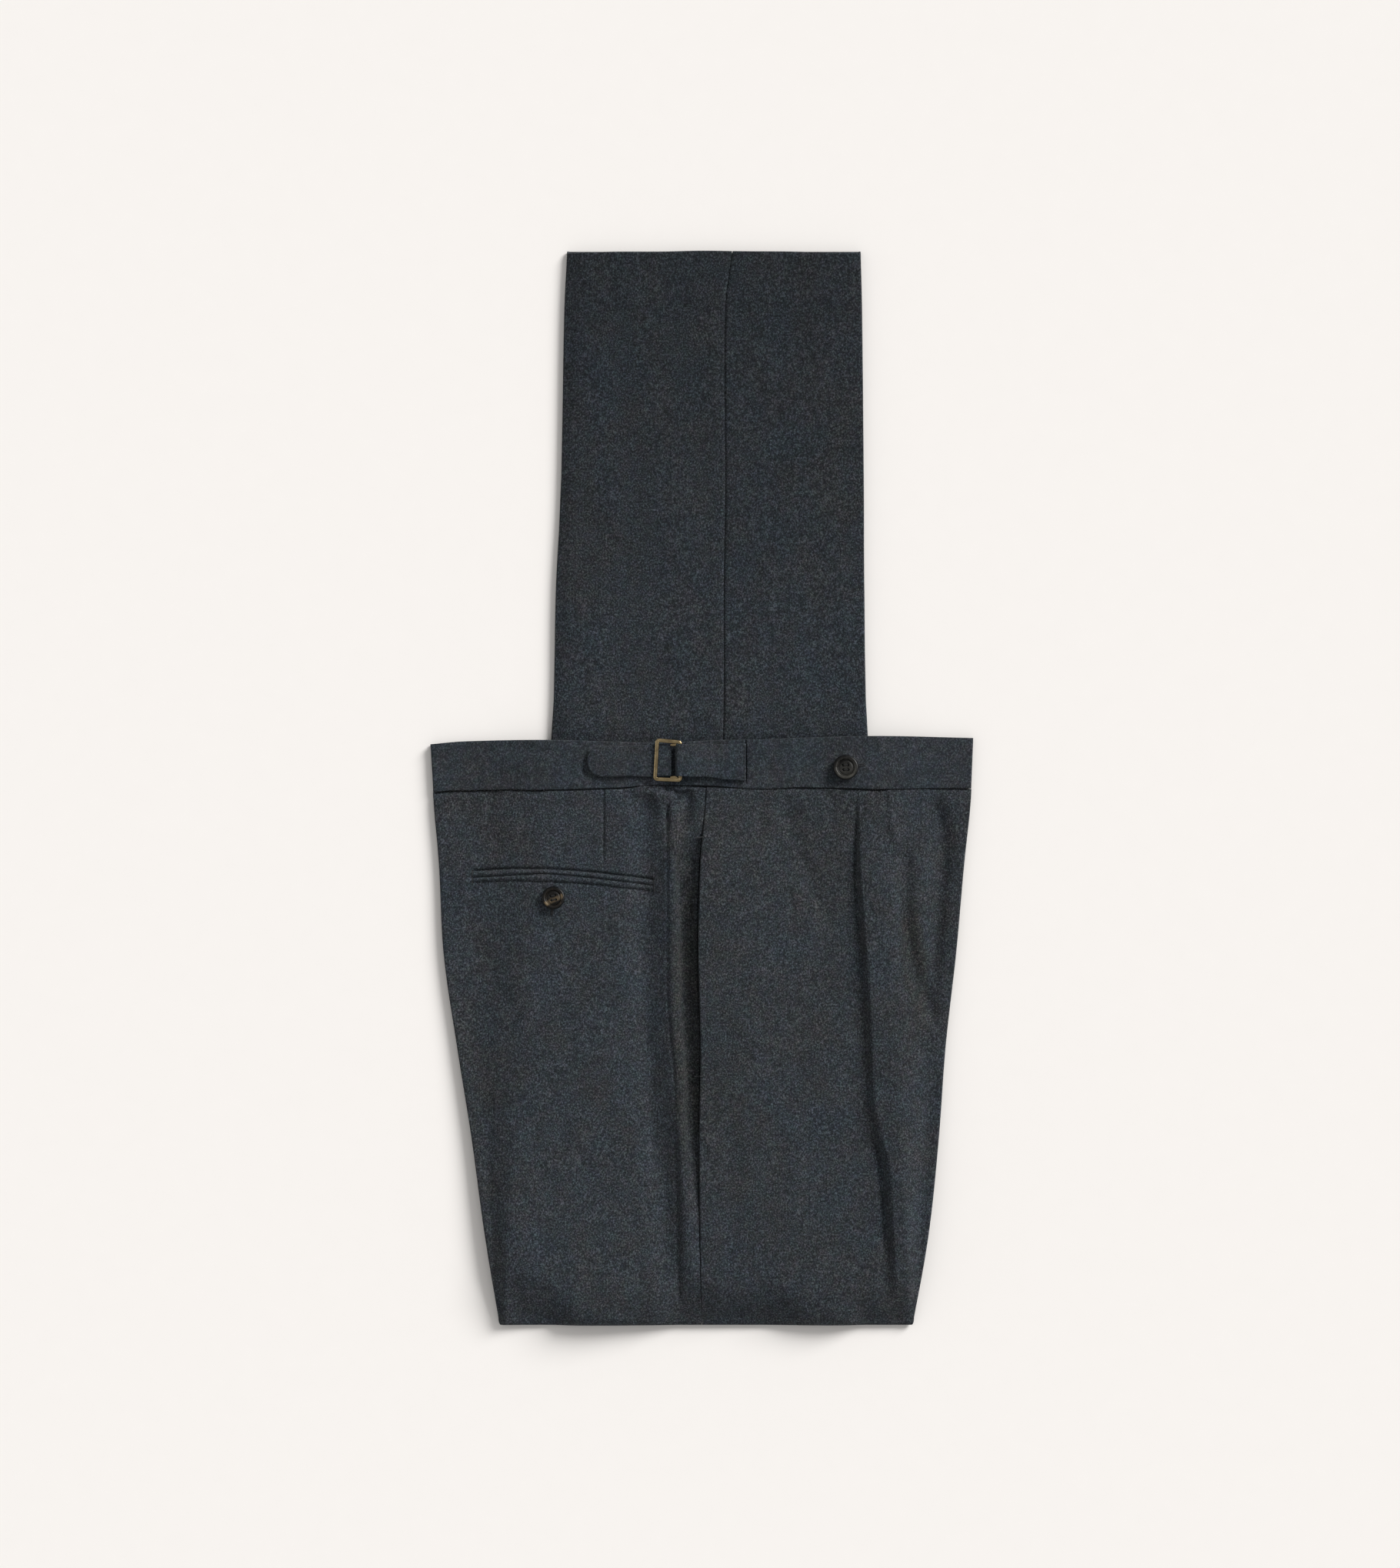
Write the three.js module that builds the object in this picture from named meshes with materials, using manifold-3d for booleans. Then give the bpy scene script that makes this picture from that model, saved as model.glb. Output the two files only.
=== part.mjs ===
import * as THREE from 'three';
import { mergeVertices } from 'three/addons/utils/BufferGeometryUtils.js';
import Module from 'manifold-3d';

const wasm = await Module();
wasm.setup();

// Pleated wool trousers, closed, folded in half along the front and back creases
// and once more at the knee, lying on a table with the right side up.
// X runs from the back edge to the front edge, Y from the knee fold to the waist
// and on to the hems, Z up from the table. Millimetres.

// Driving dimensions
const cloth = 1.4; // wool flannel with its nap
const gap = 0.3; // between pieces that touch
const lieGap = 0.5; // under a small piece that lies on curved cloth
const bandWall = 2.6; // waistband: outer cloth, canvas and inner cloth
const bandSoft = 0.7; // how far its pressed edges drop
const bandMiddle = 18; // Y halfway up the waistband
const legStack = 7; // the four layers of the lower legs, pressed
const edgeRound = 2.8; // a pressed crease seen from its end
const kneeCentre = -376.5; // where the cloth starts to turn at the knee fold
const kneeReach = 8.2; // how far the knee fold stands out beyond that
const hemY = 384.7;
const floorStrip = 0.25; // share of an overhanging side that lies on the table
const settle = 2.5; // the bend where the seat comes down off the lower legs
const grooveDeep = 1.1; // between the layers seen at a folded edge
const seatLobes = 3; // layers seen at the seat's and thigh's folded edges
const legLobes = 1; // and at the lower legs' edges, between the outer walls

// Sections of the seat and thigh: x of the back edge, side seam and front edge,
// and the height of the layers above the lower legs
const seatSections = [
  { y: 34, back: -194.7, seam: 4, front: 194.7, stack: 5.2 },
  { y: -9, back: -193, seam: 2.8, front: 192.5, stack: 5.0 },
  { y: -52, back: -188.5, seam: -1, front: 188.5, stack: 5.2 },
  { y: -118, back: -185, seam: -2.7, front: 182.5, stack: 5.6 },
  { y: -184, back: -175.5, seam: -1, front: 175, stack: 6.2 },
  { y: -250, back: -165, seam: -2, front: 170, stack: 7.6 },
  { y: -316, back: -156, seam: -1.5, front: 163, stack: 9.4 },
  { y: -384, back: -145, seam: 0, front: 151.5, stack: 10.6 },
];

// Sections of the lower legs, from the hems to the knee
const legSections = [
  { y: 385, back: -96.5, seam: 22, front: 114 },
  { y: 343, back: -98.5, seam: 17, front: 115 },
  { y: 212, back: -101, seam: 17, front: 116.3 },
  { y: 145, back: -104.5, seam: 16, front: 116.6 },
  { y: 38, back: -107.5, seam: 15.5, front: 119 },
  { y: -384, back: -145, seam: 0, front: 151.5 },
];

// Lower and upper edge of the waistband along X
const bandSections = [
  { x: -194.7, low: -2.5, high: 31.5 },
  { x: -170, low: -1.6, high: 33.6 },
  { x: -110, low: -1.2, high: 34.6 },
  { x: -66, low: 0, high: 33.4 },
  { x: -30, low: 2.2, high: 32.6 },
  { x: 10, low: 1.4, high: 34.4 },
  { x: 38, low: -0.4, high: 34.8 },
  { x: 80, low: 0.4, high: 36.4 },
  { x: 130, low: -0.6, high: 37.4 },
  { x: 194.7, low: 0, high: 36 },
];

// The two front pleats: the folded edge of each, and how far it stands proud
const pleatMain = [
  { y: 2, x: 112.2, proud: 2.6 },
  { y: -44, x: 110.6, proud: 2.6 },
  { y: -105, x: 113.3, proud: 2.4 },
  { y: -162, x: 117.7, proud: 2.6 },
  { y: -209, x: 120.5, proud: 2.6 },
  { y: -240, x: 123.2, proud: 2.0 },
  { y: -292, x: 131.5, proud: 1.8 },
  { y: -340, x: 137, proud: 1.0 },
  { y: -370, x: 139, proud: 0 },
];
const pleatSmall = [
  { y: 2, x: 133.5, proud: 1.8 },
  { y: -39, x: 137.5, proud: 1.4 },
  { y: -66, x: 149, proud: 1.0 },
  { y: -127, x: 152.5, proud: 0.8 },
  { y: -160, x: 157, proud: 0 },
  { y: -370, x: 147, proud: 0 },
];
const pleatSpread = 16; // the width over which a pleat's underlay dies away

// Soft folds beside the side seam: distance from the seam, height and half width
const seamFolds = [
  { off: -5.5, high: -1.2, wide: 4 },
  { off: -15.5, high: 2.2, wide: 6.5 },
  { off: -29, high: -0.6, wide: 7 },
];
const seamFoldTop = -18;
const seamFoldFoot = -350;
const mouthTop = -36; // side pocket mouth
const mouthFoot = -206;
const mouthProud = 1.3;

// Small pieces on the surface
const jet = { left: -164, right: -35, wall: 1.1 };
const jetLines = [
  { x: -164, top: -59.4, slit: -64.1, foot: -67.4 },
  { x: -138, top: -57.7, slit: -62.5, foot: -66.3 },
  { x: -112, top: -57.7, slit: -61.2, foot: -66.8 },
  { x: -79, top: -59.9, slit: -64, foot: -68.6 },
  { x: -35, top: -65.2, slit: -69.6, foot: -73.7 },
];
const facing = { width: 3.6, top: -44, foot: -135, wall: 1.0 };
const strap = { tip: -83, pointed: 10, fold: -22.6, low: 8.2, high: 31, wall: 1.8 };
const buckle = { left: -33.3, right: -9, low: 4.9, high: 35.3, wire: 3, wall: 1.8 };
const tab = { left: -17, closed: 6, right: 31.6, low: 8.3, high: 31.7, flare: 3, wall: 1.3 };
const bandButton = { x: 103.4, y: 15.1, radius: 8.6, wall: 3 };
const pocketButton = { x: -105.6, y: -78.1, radius: 7.8, wall: 2.6 };

const colours = { flannel: 0x33383d, brass: 0x8a7350, horn: 0x463c34 };

// A smooth value of one column of a table at a place along its key
function along(rows, key, column, place) {
  const falling = rows[0][key] > rows[rows.length - 1][key];
  const list = falling ? [...rows].reverse() : rows;
  const p = Math.min(Math.max(place, list[0][key]), list[list.length - 1][key]);
  let i = 0;
  while (i < list.length - 2 && p > list[i + 1][key]) i += 1;
  const a = list[i];
  const b = list[i + 1];
  const span = b[key] - a[key];
  const slope = (k) => {
    const before = list[Math.max(k - 1, 0)];
    const after = list[Math.min(k + 1, list.length - 1)];
    return (after[column] - before[column]) / (after[key] - before[key]);
  };
  const t = (p - a[key]) / span;
  const rise = 3 * t * t - 2 * t * t * t;
  const bend = span * (slope(i) * t * (1 - t) * (1 - t) - slope(i + 1) * t * t * (1 - t));
  return a[column] + (b[column] - a[column]) * rise + bend;
}

function ramp(from, to, value) {
  const t = Math.min(Math.max((value - from) / (to - from), 0), 1);
  return t * t * (3 - 2 * t);
}

function spaced(from, to, count) {
  return Array.from({ length: count }, (_, i) => from + ((to - from) * i) / (count - 1));
}

// How far the cloth at (x, y) is held up by the lower legs under it, 0 to 1
function heldUp(x, y) {
  const back = along(seatSections, 'y', 'back', y);
  const front = along(seatSections, 'y', 'front', y);
  const legBack = along(legSections, 'y', 'back', y);
  const legFront = along(legSections, 'y', 'front', y);
  const fromBack = ramp(back + floorStrip * (legBack - back), legBack + settle, x);
  const fromFront = ramp(-front + floorStrip * (front - legFront), -legFront + settle, -x);
  return Math.min(fromBack, fromFront);
}

// Height of the top cloth over the seat and thigh, with its soft folds
function seatTop(x, y) {
  const seam = along(seatSections, 'y', 'seam', y);
  const fade = ramp(-seamFoldTop, -seamFoldTop + 30, -y) * ramp(seamFoldFoot, seamFoldFoot + 60, y);
  const folds = seamFolds.reduce((sum, fold) => {
    const d = (x - seam - fold.off) / fold.wide;
    return sum + fold.high * Math.exp(-d * d);
  }, 0);
  const stack = along(seatSections, 'y', 'stack', y);
  return heldUp(x, y) * (legStack + gap) + stack + (x < seam ? folds * fade : 0);
}

// Extra thickness on the outside: pleat underlays and the pocket mouth's folded edge
function raised(x, y) {
  const underlay = [pleatMain, pleatSmall].reduce((sum, pleat) => {
    const beyond = x - along(pleat, 'y', 'x', y);
    const proud = Math.max(along(pleat, 'y', 'proud', y), 0);
    return beyond > 0 ? Math.max(sum, proud * Math.exp(-beyond / pleatSpread)) : sum;
  }, 0);
  const seam = along(seatSections, 'y', 'seam', y);
  const mouth = ramp(-mouthTop, -mouthTop + 20, -y) * ramp(mouthFoot - 20, mouthFoot, y);
  const lip = x > seam ? mouthProud * mouth * Math.exp(-(x - seam) / 12) : 0;
  return underlay + lip;
}

// Stations along a leg: over the top, round the knee fold, and back along the table
const seamGap = (x) => along(bandSections, 'x', 'low', x) - 1.5 * gap;
const topRows = [-15, -32, -50, -72, -98, -125, -160, -195, -230, -265, -300, -335, -360, kneeCentre];
const overTop = [{ y: -3, edge: seamGap }, ...topRows.map((y) => ({ y }))];
const turns = spaced(0, Math.PI, 9).slice(1, -1);
const roundKnee = turns.map((turn) => ({ y: kneeCentre, turn }));
const seamFoot = Math.min(...bandSections.map((row) => row.low));
const onTable = [kneeCentre, seamFoot, 38, 145, 212, 343, hemY].map((y) => ({ y, table: true }));
const legRun = [...overTop, ...roundKnee, ...onTable];

function edgesAt(station) {
  const share = station.table ? 1 : (1 - Math.cos(station.turn ?? 0)) / 2;
  const mix = (column) =>
    (1 - share) * along(seatSections, 'y', column, station.y) +
    share * along(legSections, 'y', column, station.y);
  return { back: mix('back'), seam: mix('seam'), front: mix('front') };
}

// A point that lies `depth` inside the outer surface of the right leg
function legPoint(x, station, depth) {
  if (station.table) return [x, station.y, depth];
  if (station.turn !== undefined) {
    const half = seatTop(x, kneeCentre) / 2;
    const out = (kneeReach - depth) * Math.sin(station.turn);
    return [x, kneeCentre - out, half + (half - depth) * Math.cos(station.turn)];
  }
  const y = station.edge ? station.edge(x) : station.y;
  return [x, y, seatTop(x, y) - depth];
}

// A point that lies `depth` inside the outer surface of the left lower leg
function lowerPoint(x, station, depth) {
  return [x, station.y, legStack - depth];
}

// A column is one place across a panel; at a crease the cloth has turned down by `roll`
const rolls = [Math.PI / 2, Math.PI / 4, 0];

function creaseColumns(edge, side) {
  const list = rolls.map((roll) => ({ x: edge - side * edgeRound * (1 - Math.sin(roll)), roll, side }));
  return side < 0 ? list : list.reverse();
}

function flatColumns(xs) {
  return xs.map((x) => ({ x, roll: 0, side: 0 }));
}

function throughWall(pointAt, column, station, depth) {
  const down = edgeRound * (1 - Math.cos(column.roll)) + depth * Math.cos(column.roll);
  const point = pointAt(column.x, station, down);
  point[0] -= column.side * depth * Math.sin(column.roll);
  return point;
}

function outerPoint(column, station) {
  const point = throughWall(legPoint, column, station, 0);
  if (!station.table && station.turn === undefined && column.roll === 0) {
    point[2] += raised(point[0], point[1]);
  }
  return point;
}

function backColumns(station) {
  const { back, seam } = edgesAt(station);
  const wide = spaced(back + edgeRound, seam - 36, 8).slice(1);
  const beside = [-28, -22.5, -17.5, -12.5, -8, -4, -gap / 2].map((off) => seam + off);
  return [...creaseColumns(back, -1), ...flatColumns([...wide, ...beside])];
}

function frontColumns(station) {
  const { seam, front } = edgesAt(station);
  const y = station.table || station.turn !== undefined ? kneeCentre : station.y;
  const flat = edgesAt({ y });
  const widthThere = flat.front - edgeRound - flat.seam;
  const widthHere = front - edgeRound - seam;
  const share = (x) => seam + ((x - flat.seam) / widthThere) * widthHere;
  const main = along(pleatMain, 'y', 'x', y);
  const small = along(pleatSmall, 'y', 'x', y);
  const beside = [gap / 2, 4, 12, 26].map((off) => seam + off);
  const middle = spaced(flat.seam + 26, main - 5, 4).slice(1).map(share);
  const pleats = [main - 0.5, main + 0.5, main + 3, small - 0.4, small + 0.4].map(share);
  const last = share((small + flat.front - edgeRound) / 2);
  return [...flatColumns([...beside, ...middle, ...pleats, last]), ...creaseColumns(front, 1)];
}

function lowerBackColumns(station) {
  const { back, seam } = edgesAt({ y: station.y, table: true });
  const wide = spaced(back + edgeRound, seam - gap / 2, 4).slice(1);
  return [...creaseColumns(back, -1), ...flatColumns(wide)];
}

function lowerFrontColumns(station) {
  const { seam, front } = edgesAt({ y: station.y, table: true });
  const wide = spaced(seam + gap / 2, front - edgeRound, 4).slice(0, -1);
  return [...flatColumns(wide), ...creaseColumns(front, 1)];
}

// A closed body from rings of points, capped at both ends. A ring runs along its upper
// columns, down `side` points, back along its lower columns and up `side` points.
const sideColumns = 3; // columns at each end that a layered side's cap takes in

function loft(rings, side = 0) {
  const count = rings[0].length;
  const faces = [];
  for (let j = 0; j + 1 < rings.length; j += 1) {
    for (let i = 0; i < count; i += 1) {
      const a = j * count + i;
      const b = j * count + ((i + 1) % count);
      // a wall's inner quads are split like its outer ones, so that both sides stay parallel
      if (side === 0 && i >= count / 2) faces.push([a, b, a + count], [b, b + count, a + count]);
      else faces.push([a, b, b + count], [a, b + count, a + count]);
    }
  }
  const points = rings.flat();
  const columns = (count - 2 * side) / 2;
  const below = (i) => 2 * columns + side - 1 - i;
  const first = side > 0 ? sideColumns : 0;
  const last = columns - 1 - first;
  [0, rings.length - 1].forEach((j) => {
    const cap = [];
    for (let i = first; i < last; i += 1) {
      cap.push([i, i + 1, below(i + 1)], [i, below(i + 1), below(i)]);
    }
    if (side > 0) {
      [[last, below(last)], [below(first), first + count]].forEach(([from, to]) => {
        const middle = rings[j][from].map((v, axis) => (v + rings[j][to % count][axis]) / 2);
        const centre = points.push(middle) - 1 - j * count;
        for (let k = from; k < to; k += 1) cap.push([centre, k % count, (k + 1) % count]);
        cap.push([centre, to % count, from]);
      });
    }
    cap.forEach((face) => {
      const placed = face.map((k) => k + j * count);
      faces.push(j > 0 ? placed : placed.reverse());
    });
  });
  return closedBody(points, faces);
}

// Faces turned outwards, whichever way the rings ran
function closedBody(points, faces) {
  const [a, b, c] = [new THREE.Vector3(), new THREE.Vector3(), new THREE.Vector3()];
  const volume = faces.reduce((sum, face) => {
    a.set(...points[face[0]]);
    b.set(...points[face[1]]);
    c.set(...points[face[2]]);
    return sum + a.dot(b.cross(c));
  }, 0);
  const index = faces.flatMap((face) => (volume > 0 ? face : [face[0], face[2], face[1]]));
  const geometry = new THREE.BufferGeometry();
  geometry.setAttribute('position', new THREE.Float32BufferAttribute(points.flat(), 3));
  geometry.setIndex(index);
  return geometry;
}

// A wall of cloth: each ring goes out along its outer points and back along its inner ones
function panel(stations, columnsAt, outerAt, innerAt) {
  const rings = stations.map((station) => {
    const columns = columnsAt(station);
    const outer = columns.map((column) => outerAt(column, station));
    const inner = columns.map((column) => innerAt(column, station));
    return [...outer, ...inner.reverse()];
  });
  return loft(rings);
}

function toSolid(geometry) {
  const position = geometry.getAttribute('position');
  return new wasm.Manifold(new wasm.Mesh({
    numProp: 3,
    vertProperties: new Float32Array(position.array),
    triVerts: new Uint32Array(geometry.index.array),
  }));
}

function toGeometry(solid) {
  const mesh = solid.getMesh();
  const geometry = new THREE.BufferGeometry();
  geometry.setAttribute('position', new THREE.BufferAttribute(mesh.vertProperties, 3));
  geometry.setIndex(new THREE.BufferAttribute(mesh.triVerts, 1));
  return geometry;
}

// The layers that nothing shows: the inner sides of both legs and the left seat
const inset = cloth + gap;
const lobeReach = inset - 0.2; // the hidden folds end just inside the outer crease

function rightColumns(station) {
  return [...backColumns(station), ...frontColumns(station)];
}

// One folded edge seen from its end: under the crease, a lobe for each layer
function layeredSide(edge, side, y, high, low, lobes) {
  const deep = Math.min(grooveDeep, (high - low) * 0.15);
  return spaced(high, low, 2 * lobes + 1).map((z, k) => {
    return [edge - side * (k % 2 === 0 ? deep : 0), y, z];
  });
}

function hiddenSeatRing(station, lobes) {
  const columns = rightColumns(station);
  const upper = columns.map((column) => throughWall(legPoint, column, station, inset));
  const opposite = { ...station, turn: Math.PI - station.turn };
  const under = station.turn === undefined ? columns : rightColumns(opposite);
  const lower = under.map((column) => {
    if (station.turn !== undefined) return throughWall(legPoint, column, opposite, inset);
    return [column.x - column.side * inset * Math.sin(column.roll), station.y, 0];
  });
  const side = (at, end, way) => {
    const fromTop = at[2] - gap;
    const fromLow = station.turn === undefined ? 0 : end[2] + gap;
    const edge = station.turn === undefined ? at[0] + way * lobeReach : at[0];
    return layeredSide(edge, way, at[1], fromTop, fromLow, lobes);
  };
  const last = columns.length - 1;
  const frontSide = side(upper[last], lower[last], 1);
  const backSide = side(upper[0], lower[0], -1).reverse();
  return [...upper, ...frontSide, ...lower.reverse(), ...backSide];
}

function hiddenLayers() {
  const seatStart = seamFoot - 2 * gap;
  const seatStations = [seatStart, ...topRows.slice(0, -1)].map((y) => ({ y }));
  const foldStations = turns.filter((turn) => turn < Math.PI / 2).map((turn) => ({ y: kneeCentre, turn }));
  seatStations.push({ y: kneeCentre, turn: 0 });
  const seatRings = [...seatStations, ...foldStations].map((s) => hiddenSeatRing(s, seatLobes));
  const seat = loft(seatRings, 2 * seatLobes + 1);
  const legStations = onTable.map((s) => (s.y === hemY ? { ...s, y: hemY - 2 * gap } : s));
  const legs = loft(legStations.map((station) => {
    const columns = [...lowerBackColumns(station), ...lowerFrontColumns(station)];
    const upper = columns.map((column) => throughWall(lowerPoint, column, station, inset));
    const lower = columns.map((column) => throughWall(legPoint, column, station, inset));
    const ends = (k, way) => {
      const edge = upper[k][0] + way * lobeReach;
      const high = legStack - edgeRound - gap;
      return layeredSide(edge, way, station.y, high, edgeRound + gap, legLobes);
    };
    const last = columns.length - 1;
    return [...upper, ...ends(last, 1), ...lower.reverse(), ...ends(0, -1).reverse()];
  }), 2 * legLobes + 1);
  // the room that the lowest cloth takes under the seat
  const clear = loft([kneeCentre, seatStart + 10].map((y) => {
    const { back, front } = edgesAt({ y, table: true });
    const high = edgeRound + gap;
    return [[back - gap, y, -1], [front + gap, y, -1], [front + gap, y, high], [back - gap, y, high]];
  }));
  const body = toSolid(seat).subtract(toSolid(clear)).add(toSolid(legs));
  return toGeometry(body);
}

// Half of the waistband, lying over the lower legs and down to the table at its ends
function band(level) {
  const half = seatSections[0].front;
  const leg = edgesAt({ y: bandMiddle, table: true });
  const xs = [
    ...spaced(-half, leg.back + settle, 8),
    ...spaced(leg.back + settle, leg.front - settle, 10).slice(1, -1),
    ...spaced(leg.front - settle, half, 8),
  ];
  const rows = [0, 0.03, 0.97, 1];
  const rings = xs.map((x, i) => {
    const low = along(bandSections, 'x', 'low', x);
    const high = along(bandSections, 'x', 'high', x);
    const atEnd = i === 0 || i === xs.length - 1;
    const base = heldUp(x, bandMiddle) * (legStack + gap) + level * (bandWall + gap);
    const point = (t, lift) => {
      const soft = (t === 0 || t === 1 ? bandSoft : 0) + (atEnd ? bandSoft : 0);
      return [x, low + (high - low) * t, base + (lift ? bandWall - soft : 0)];
    };
    return [...rows.map((t) => point(t, true)), ...[...rows].reverse().map((t) => point(t, false))];
  });
  return loft(rings);
}

function bandTop(x) {
  return heldUp(x, bandMiddle) * (legStack + gap) + 2 * bandWall + gap;
}

// A strip lying on the back panel between two lines, made from the panel's own height
function strip(xs, lineA, lineB, wall) {
  const rings = xs.map((x) => {
    const across = [lineA(x), (lineA(x) + lineB(x)) / 2, lineB(x)];
    const base = (y) => seatTop(x, y) + lieGap;
    const lower = across.map((y) => [x, y, base(y)]);
    const upper = across.map((y, i) => [x, y, base(y) + (i === 1 ? wall : wall * 0.6)]);
    return [...upper, ...lower.reverse()];
  });
  return loft(rings);
}

function pocketJet(from, to) {
  const line = (name) => (x) => along(jetLines, 'x', name, x);
  const shrink = (x) => Math.sign(line(to)(x) - line(from)(x)) * (gap / 2);
  const xs = spaced(jet.left, jet.right, 12);
  return strip(xs, (x) => line(from)(x) + shrink(x), (x) => line(to)(x) - shrink(x), jet.wall);
}

function pocketFacing() {
  const ys = [facing.top, ...topRows.filter((y) => y < facing.top && y > facing.foot), facing.foot];
  const rings = ys.map((y) => {
    const seam = along(seatSections, 'y', 'seam', y);
    const xs = spaced(seam - facing.width, seam - gap / 2, 3);
    const base = xs.map((x) => seatTop(x, y) + lieGap);
    const lower = xs.map((x, i) => [x, y, base[i]]);
    const upper = xs.map((x, i) => [x, y, base[i] + facing.wall]);
    return [...upper, ...lower.reverse()];
  });
  return loft(rings);
}

// A ribbon carried along points in X and Z, with its two edges given along X
function ribbon(path, wall, edges) {
  const rings = path.map(([x, z], i) => {
    const [ax, az] = path[Math.max(i - 1, 0)];
    const [bx, bz] = path[Math.min(i + 1, path.length - 1)];
    const long = Math.hypot(bx - ax, bz - az);
    const nx = (-(bz - az) / long) * (wall / 2);
    const nz = ((bx - ax) / long) * (wall / 2);
    const [low, high] = edges(x);
    return [
      [x + nx, low, z + nz], [x + nx, high, z + nz],
      [x - nx, high, z - nz], [x - nx, low, z - nz],
    ];
  });
  return loft(rings);
}

function adjusterStrap() {
  const rest = bandTop(-50) + gap + strap.wall / 2;
  const pointEnd = strap.tip + strap.pointed;
  const path = [...spaced(strap.tip, pointEnd, 5), ...spaced(pointEnd, strap.fold, 6).slice(1)]
    .map((x) => [x, rest]);
  const middle = (strap.low + strap.high) / 2; // the tip narrows to a fifth of the width
  const half = (strap.high - strap.low) / 2;
  const edges = (x) => {
    const t = Math.min(Math.max((x - strap.tip) / strap.pointed, 0), 1);
    const open = half * (0.2 + 0.8 * Math.sqrt(1 - (1 - t) * (1 - t)));
    return [middle - open, middle + open];
  };
  return ribbon(path, strap.wall, edges);
}

// The fixed tab: doubled over the buckle's far bar, both layers sewn down at the right
function adjusterTab() {
  const low = bandTop(0) + gap + tab.wall / 2;
  const high = low + tab.wall + buckle.wall + 3 * gap;
  const doubled = low + tab.wall + gap;
  const bendRadius = (high - low) / 2;
  const centre = tab.left + bendRadius + tab.wall / 2;
  const middle = (low + high) / 2;
  const bend = spaced(-Math.PI / 2, -1.5 * Math.PI, 9).slice(1);
  const path = [
    [tab.right, low], [tab.closed, low], [centre, low],
    ...bend.map((a) => [centre + bendRadius * Math.cos(a), middle + bendRadius * Math.sin(a)]),
    [buckle.right + 1, high], [tab.closed, doubled], [tab.right, doubled],
  ];
  return ribbon(path, tab.wall, (x) => [tab.low - tab.flare * ramp(-5, tab.right, x), tab.high]);
}

function buckleFrame() {
  const outline = (x0, y0, x1, y1, r) => {
    const shape = new THREE.Shape();
    shape.moveTo(x0 + r, y0);
    shape.lineTo(x1 - r, y0);
    shape.absarc(x1 - r, y0 + r, r, -Math.PI / 2, 0, false);
    shape.lineTo(x1, y1 - r);
    shape.absarc(x1 - r, y1 - r, r, 0, Math.PI / 2, false);
    shape.lineTo(x0 + r, y1);
    shape.absarc(x0 + r, y1 - r, r, Math.PI / 2, Math.PI, false);
    shape.lineTo(x0, y0 + r);
    shape.absarc(x0 + r, y0 + r, r, Math.PI, 1.5 * Math.PI, false);
    return shape;
  };
  const bevel = 0.4;
  const { left, right, low, high, wire, wall } = buckle;
  const frame = outline(left + bevel, low + bevel, right - bevel, high - bevel, 1.6);
  const inner = wire - bevel;
  frame.holes.push(outline(left + inner, low + inner, right - inner, high - inner, 0.5));
  const geometry = new THREE.ExtrudeGeometry(frame, {
    depth: wall - 2 * bevel, bevelThickness: bevel, bevelSize: bevel, bevelSegments: 2, curveSegments: 4,
  });
  const base = bandTop(-20) + strap.wall + 2 * gap;
  return geometry.translate(0, 0, base + bevel);
}

// A four-hole horn button: raised rim, shallow dish, slightly domed back
function button({ radius, wall }) {
  const profile = [
    [0, 0], [radius * 0.55, 0], [radius * 0.92, wall * 0.3], [radius, wall * 0.55],
    [radius * 0.97, wall * 0.85], [radius * 0.88, wall], [radius * 0.76, wall * 0.92],
    [radius * 0.64, wall * 0.62], [0, wall * 0.55],
  ].map(([r, z]) => new THREE.Vector2(r, z));
  const disc = weld(new THREE.LatheGeometry(profile, 28).rotateX(Math.PI / 2));
  let solid = toSolid(disc);
  for (let k = 0; k < 4; k += 1) {
    const a = Math.PI / 4 + (k * Math.PI) / 2;
    const drill = new THREE.CylinderGeometry(radius * 0.1, radius * 0.1, wall * 3, 8);
    const hole = weld(drill.rotateX(Math.PI / 2));
    hole.translate(radius * 0.24 * Math.cos(a), radius * 0.24 * Math.sin(a), 0);
    solid = solid.subtract(toSolid(hole));
  }
  return toGeometry(solid);
}

function weld(geometry) {
  geometry.deleteAttribute('normal');
  geometry.deleteAttribute('uv');
  const merged = mergeVertices(geometry, 1e-4);
  const points = [...Array(merged.getAttribute('position').count).keys()].map((i) =>
    new THREE.Vector3().fromBufferAttribute(merged.getAttribute('position'), i).toArray());
  const index = [...merged.index.array];
  const faces = [];
  for (let i = 0; i < index.length; i += 3) {
    const face = index.slice(i, i + 3);
    if (new Set(face).size === 3) faces.push(face);
  }
  return closedBody(points, faces);
}

const trousers = new THREE.Group();

function add(name, geometry, colour, metalness = 0) {
  geometry.computeVertexNormals();
  const material = new THREE.MeshStandardMaterial({
    color: colour, roughness: metalness > 0 ? 0.35 : 0.9, metalness,
  });
  const mesh = new THREE.Mesh(geometry, material);
  mesh.name = name;
  trousers.add(mesh);
  return mesh;
}

const legInner = (column, station) => throughWall(legPoint, column, station, cloth);
const lowerOuter = (column, station) => throughWall(lowerPoint, column, station, 0);
const lowerInner = (column, station) => throughWall(lowerPoint, column, station, cloth);
const lowerRun = onTable.slice(1).map(({ y }) => ({ y }));

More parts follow.
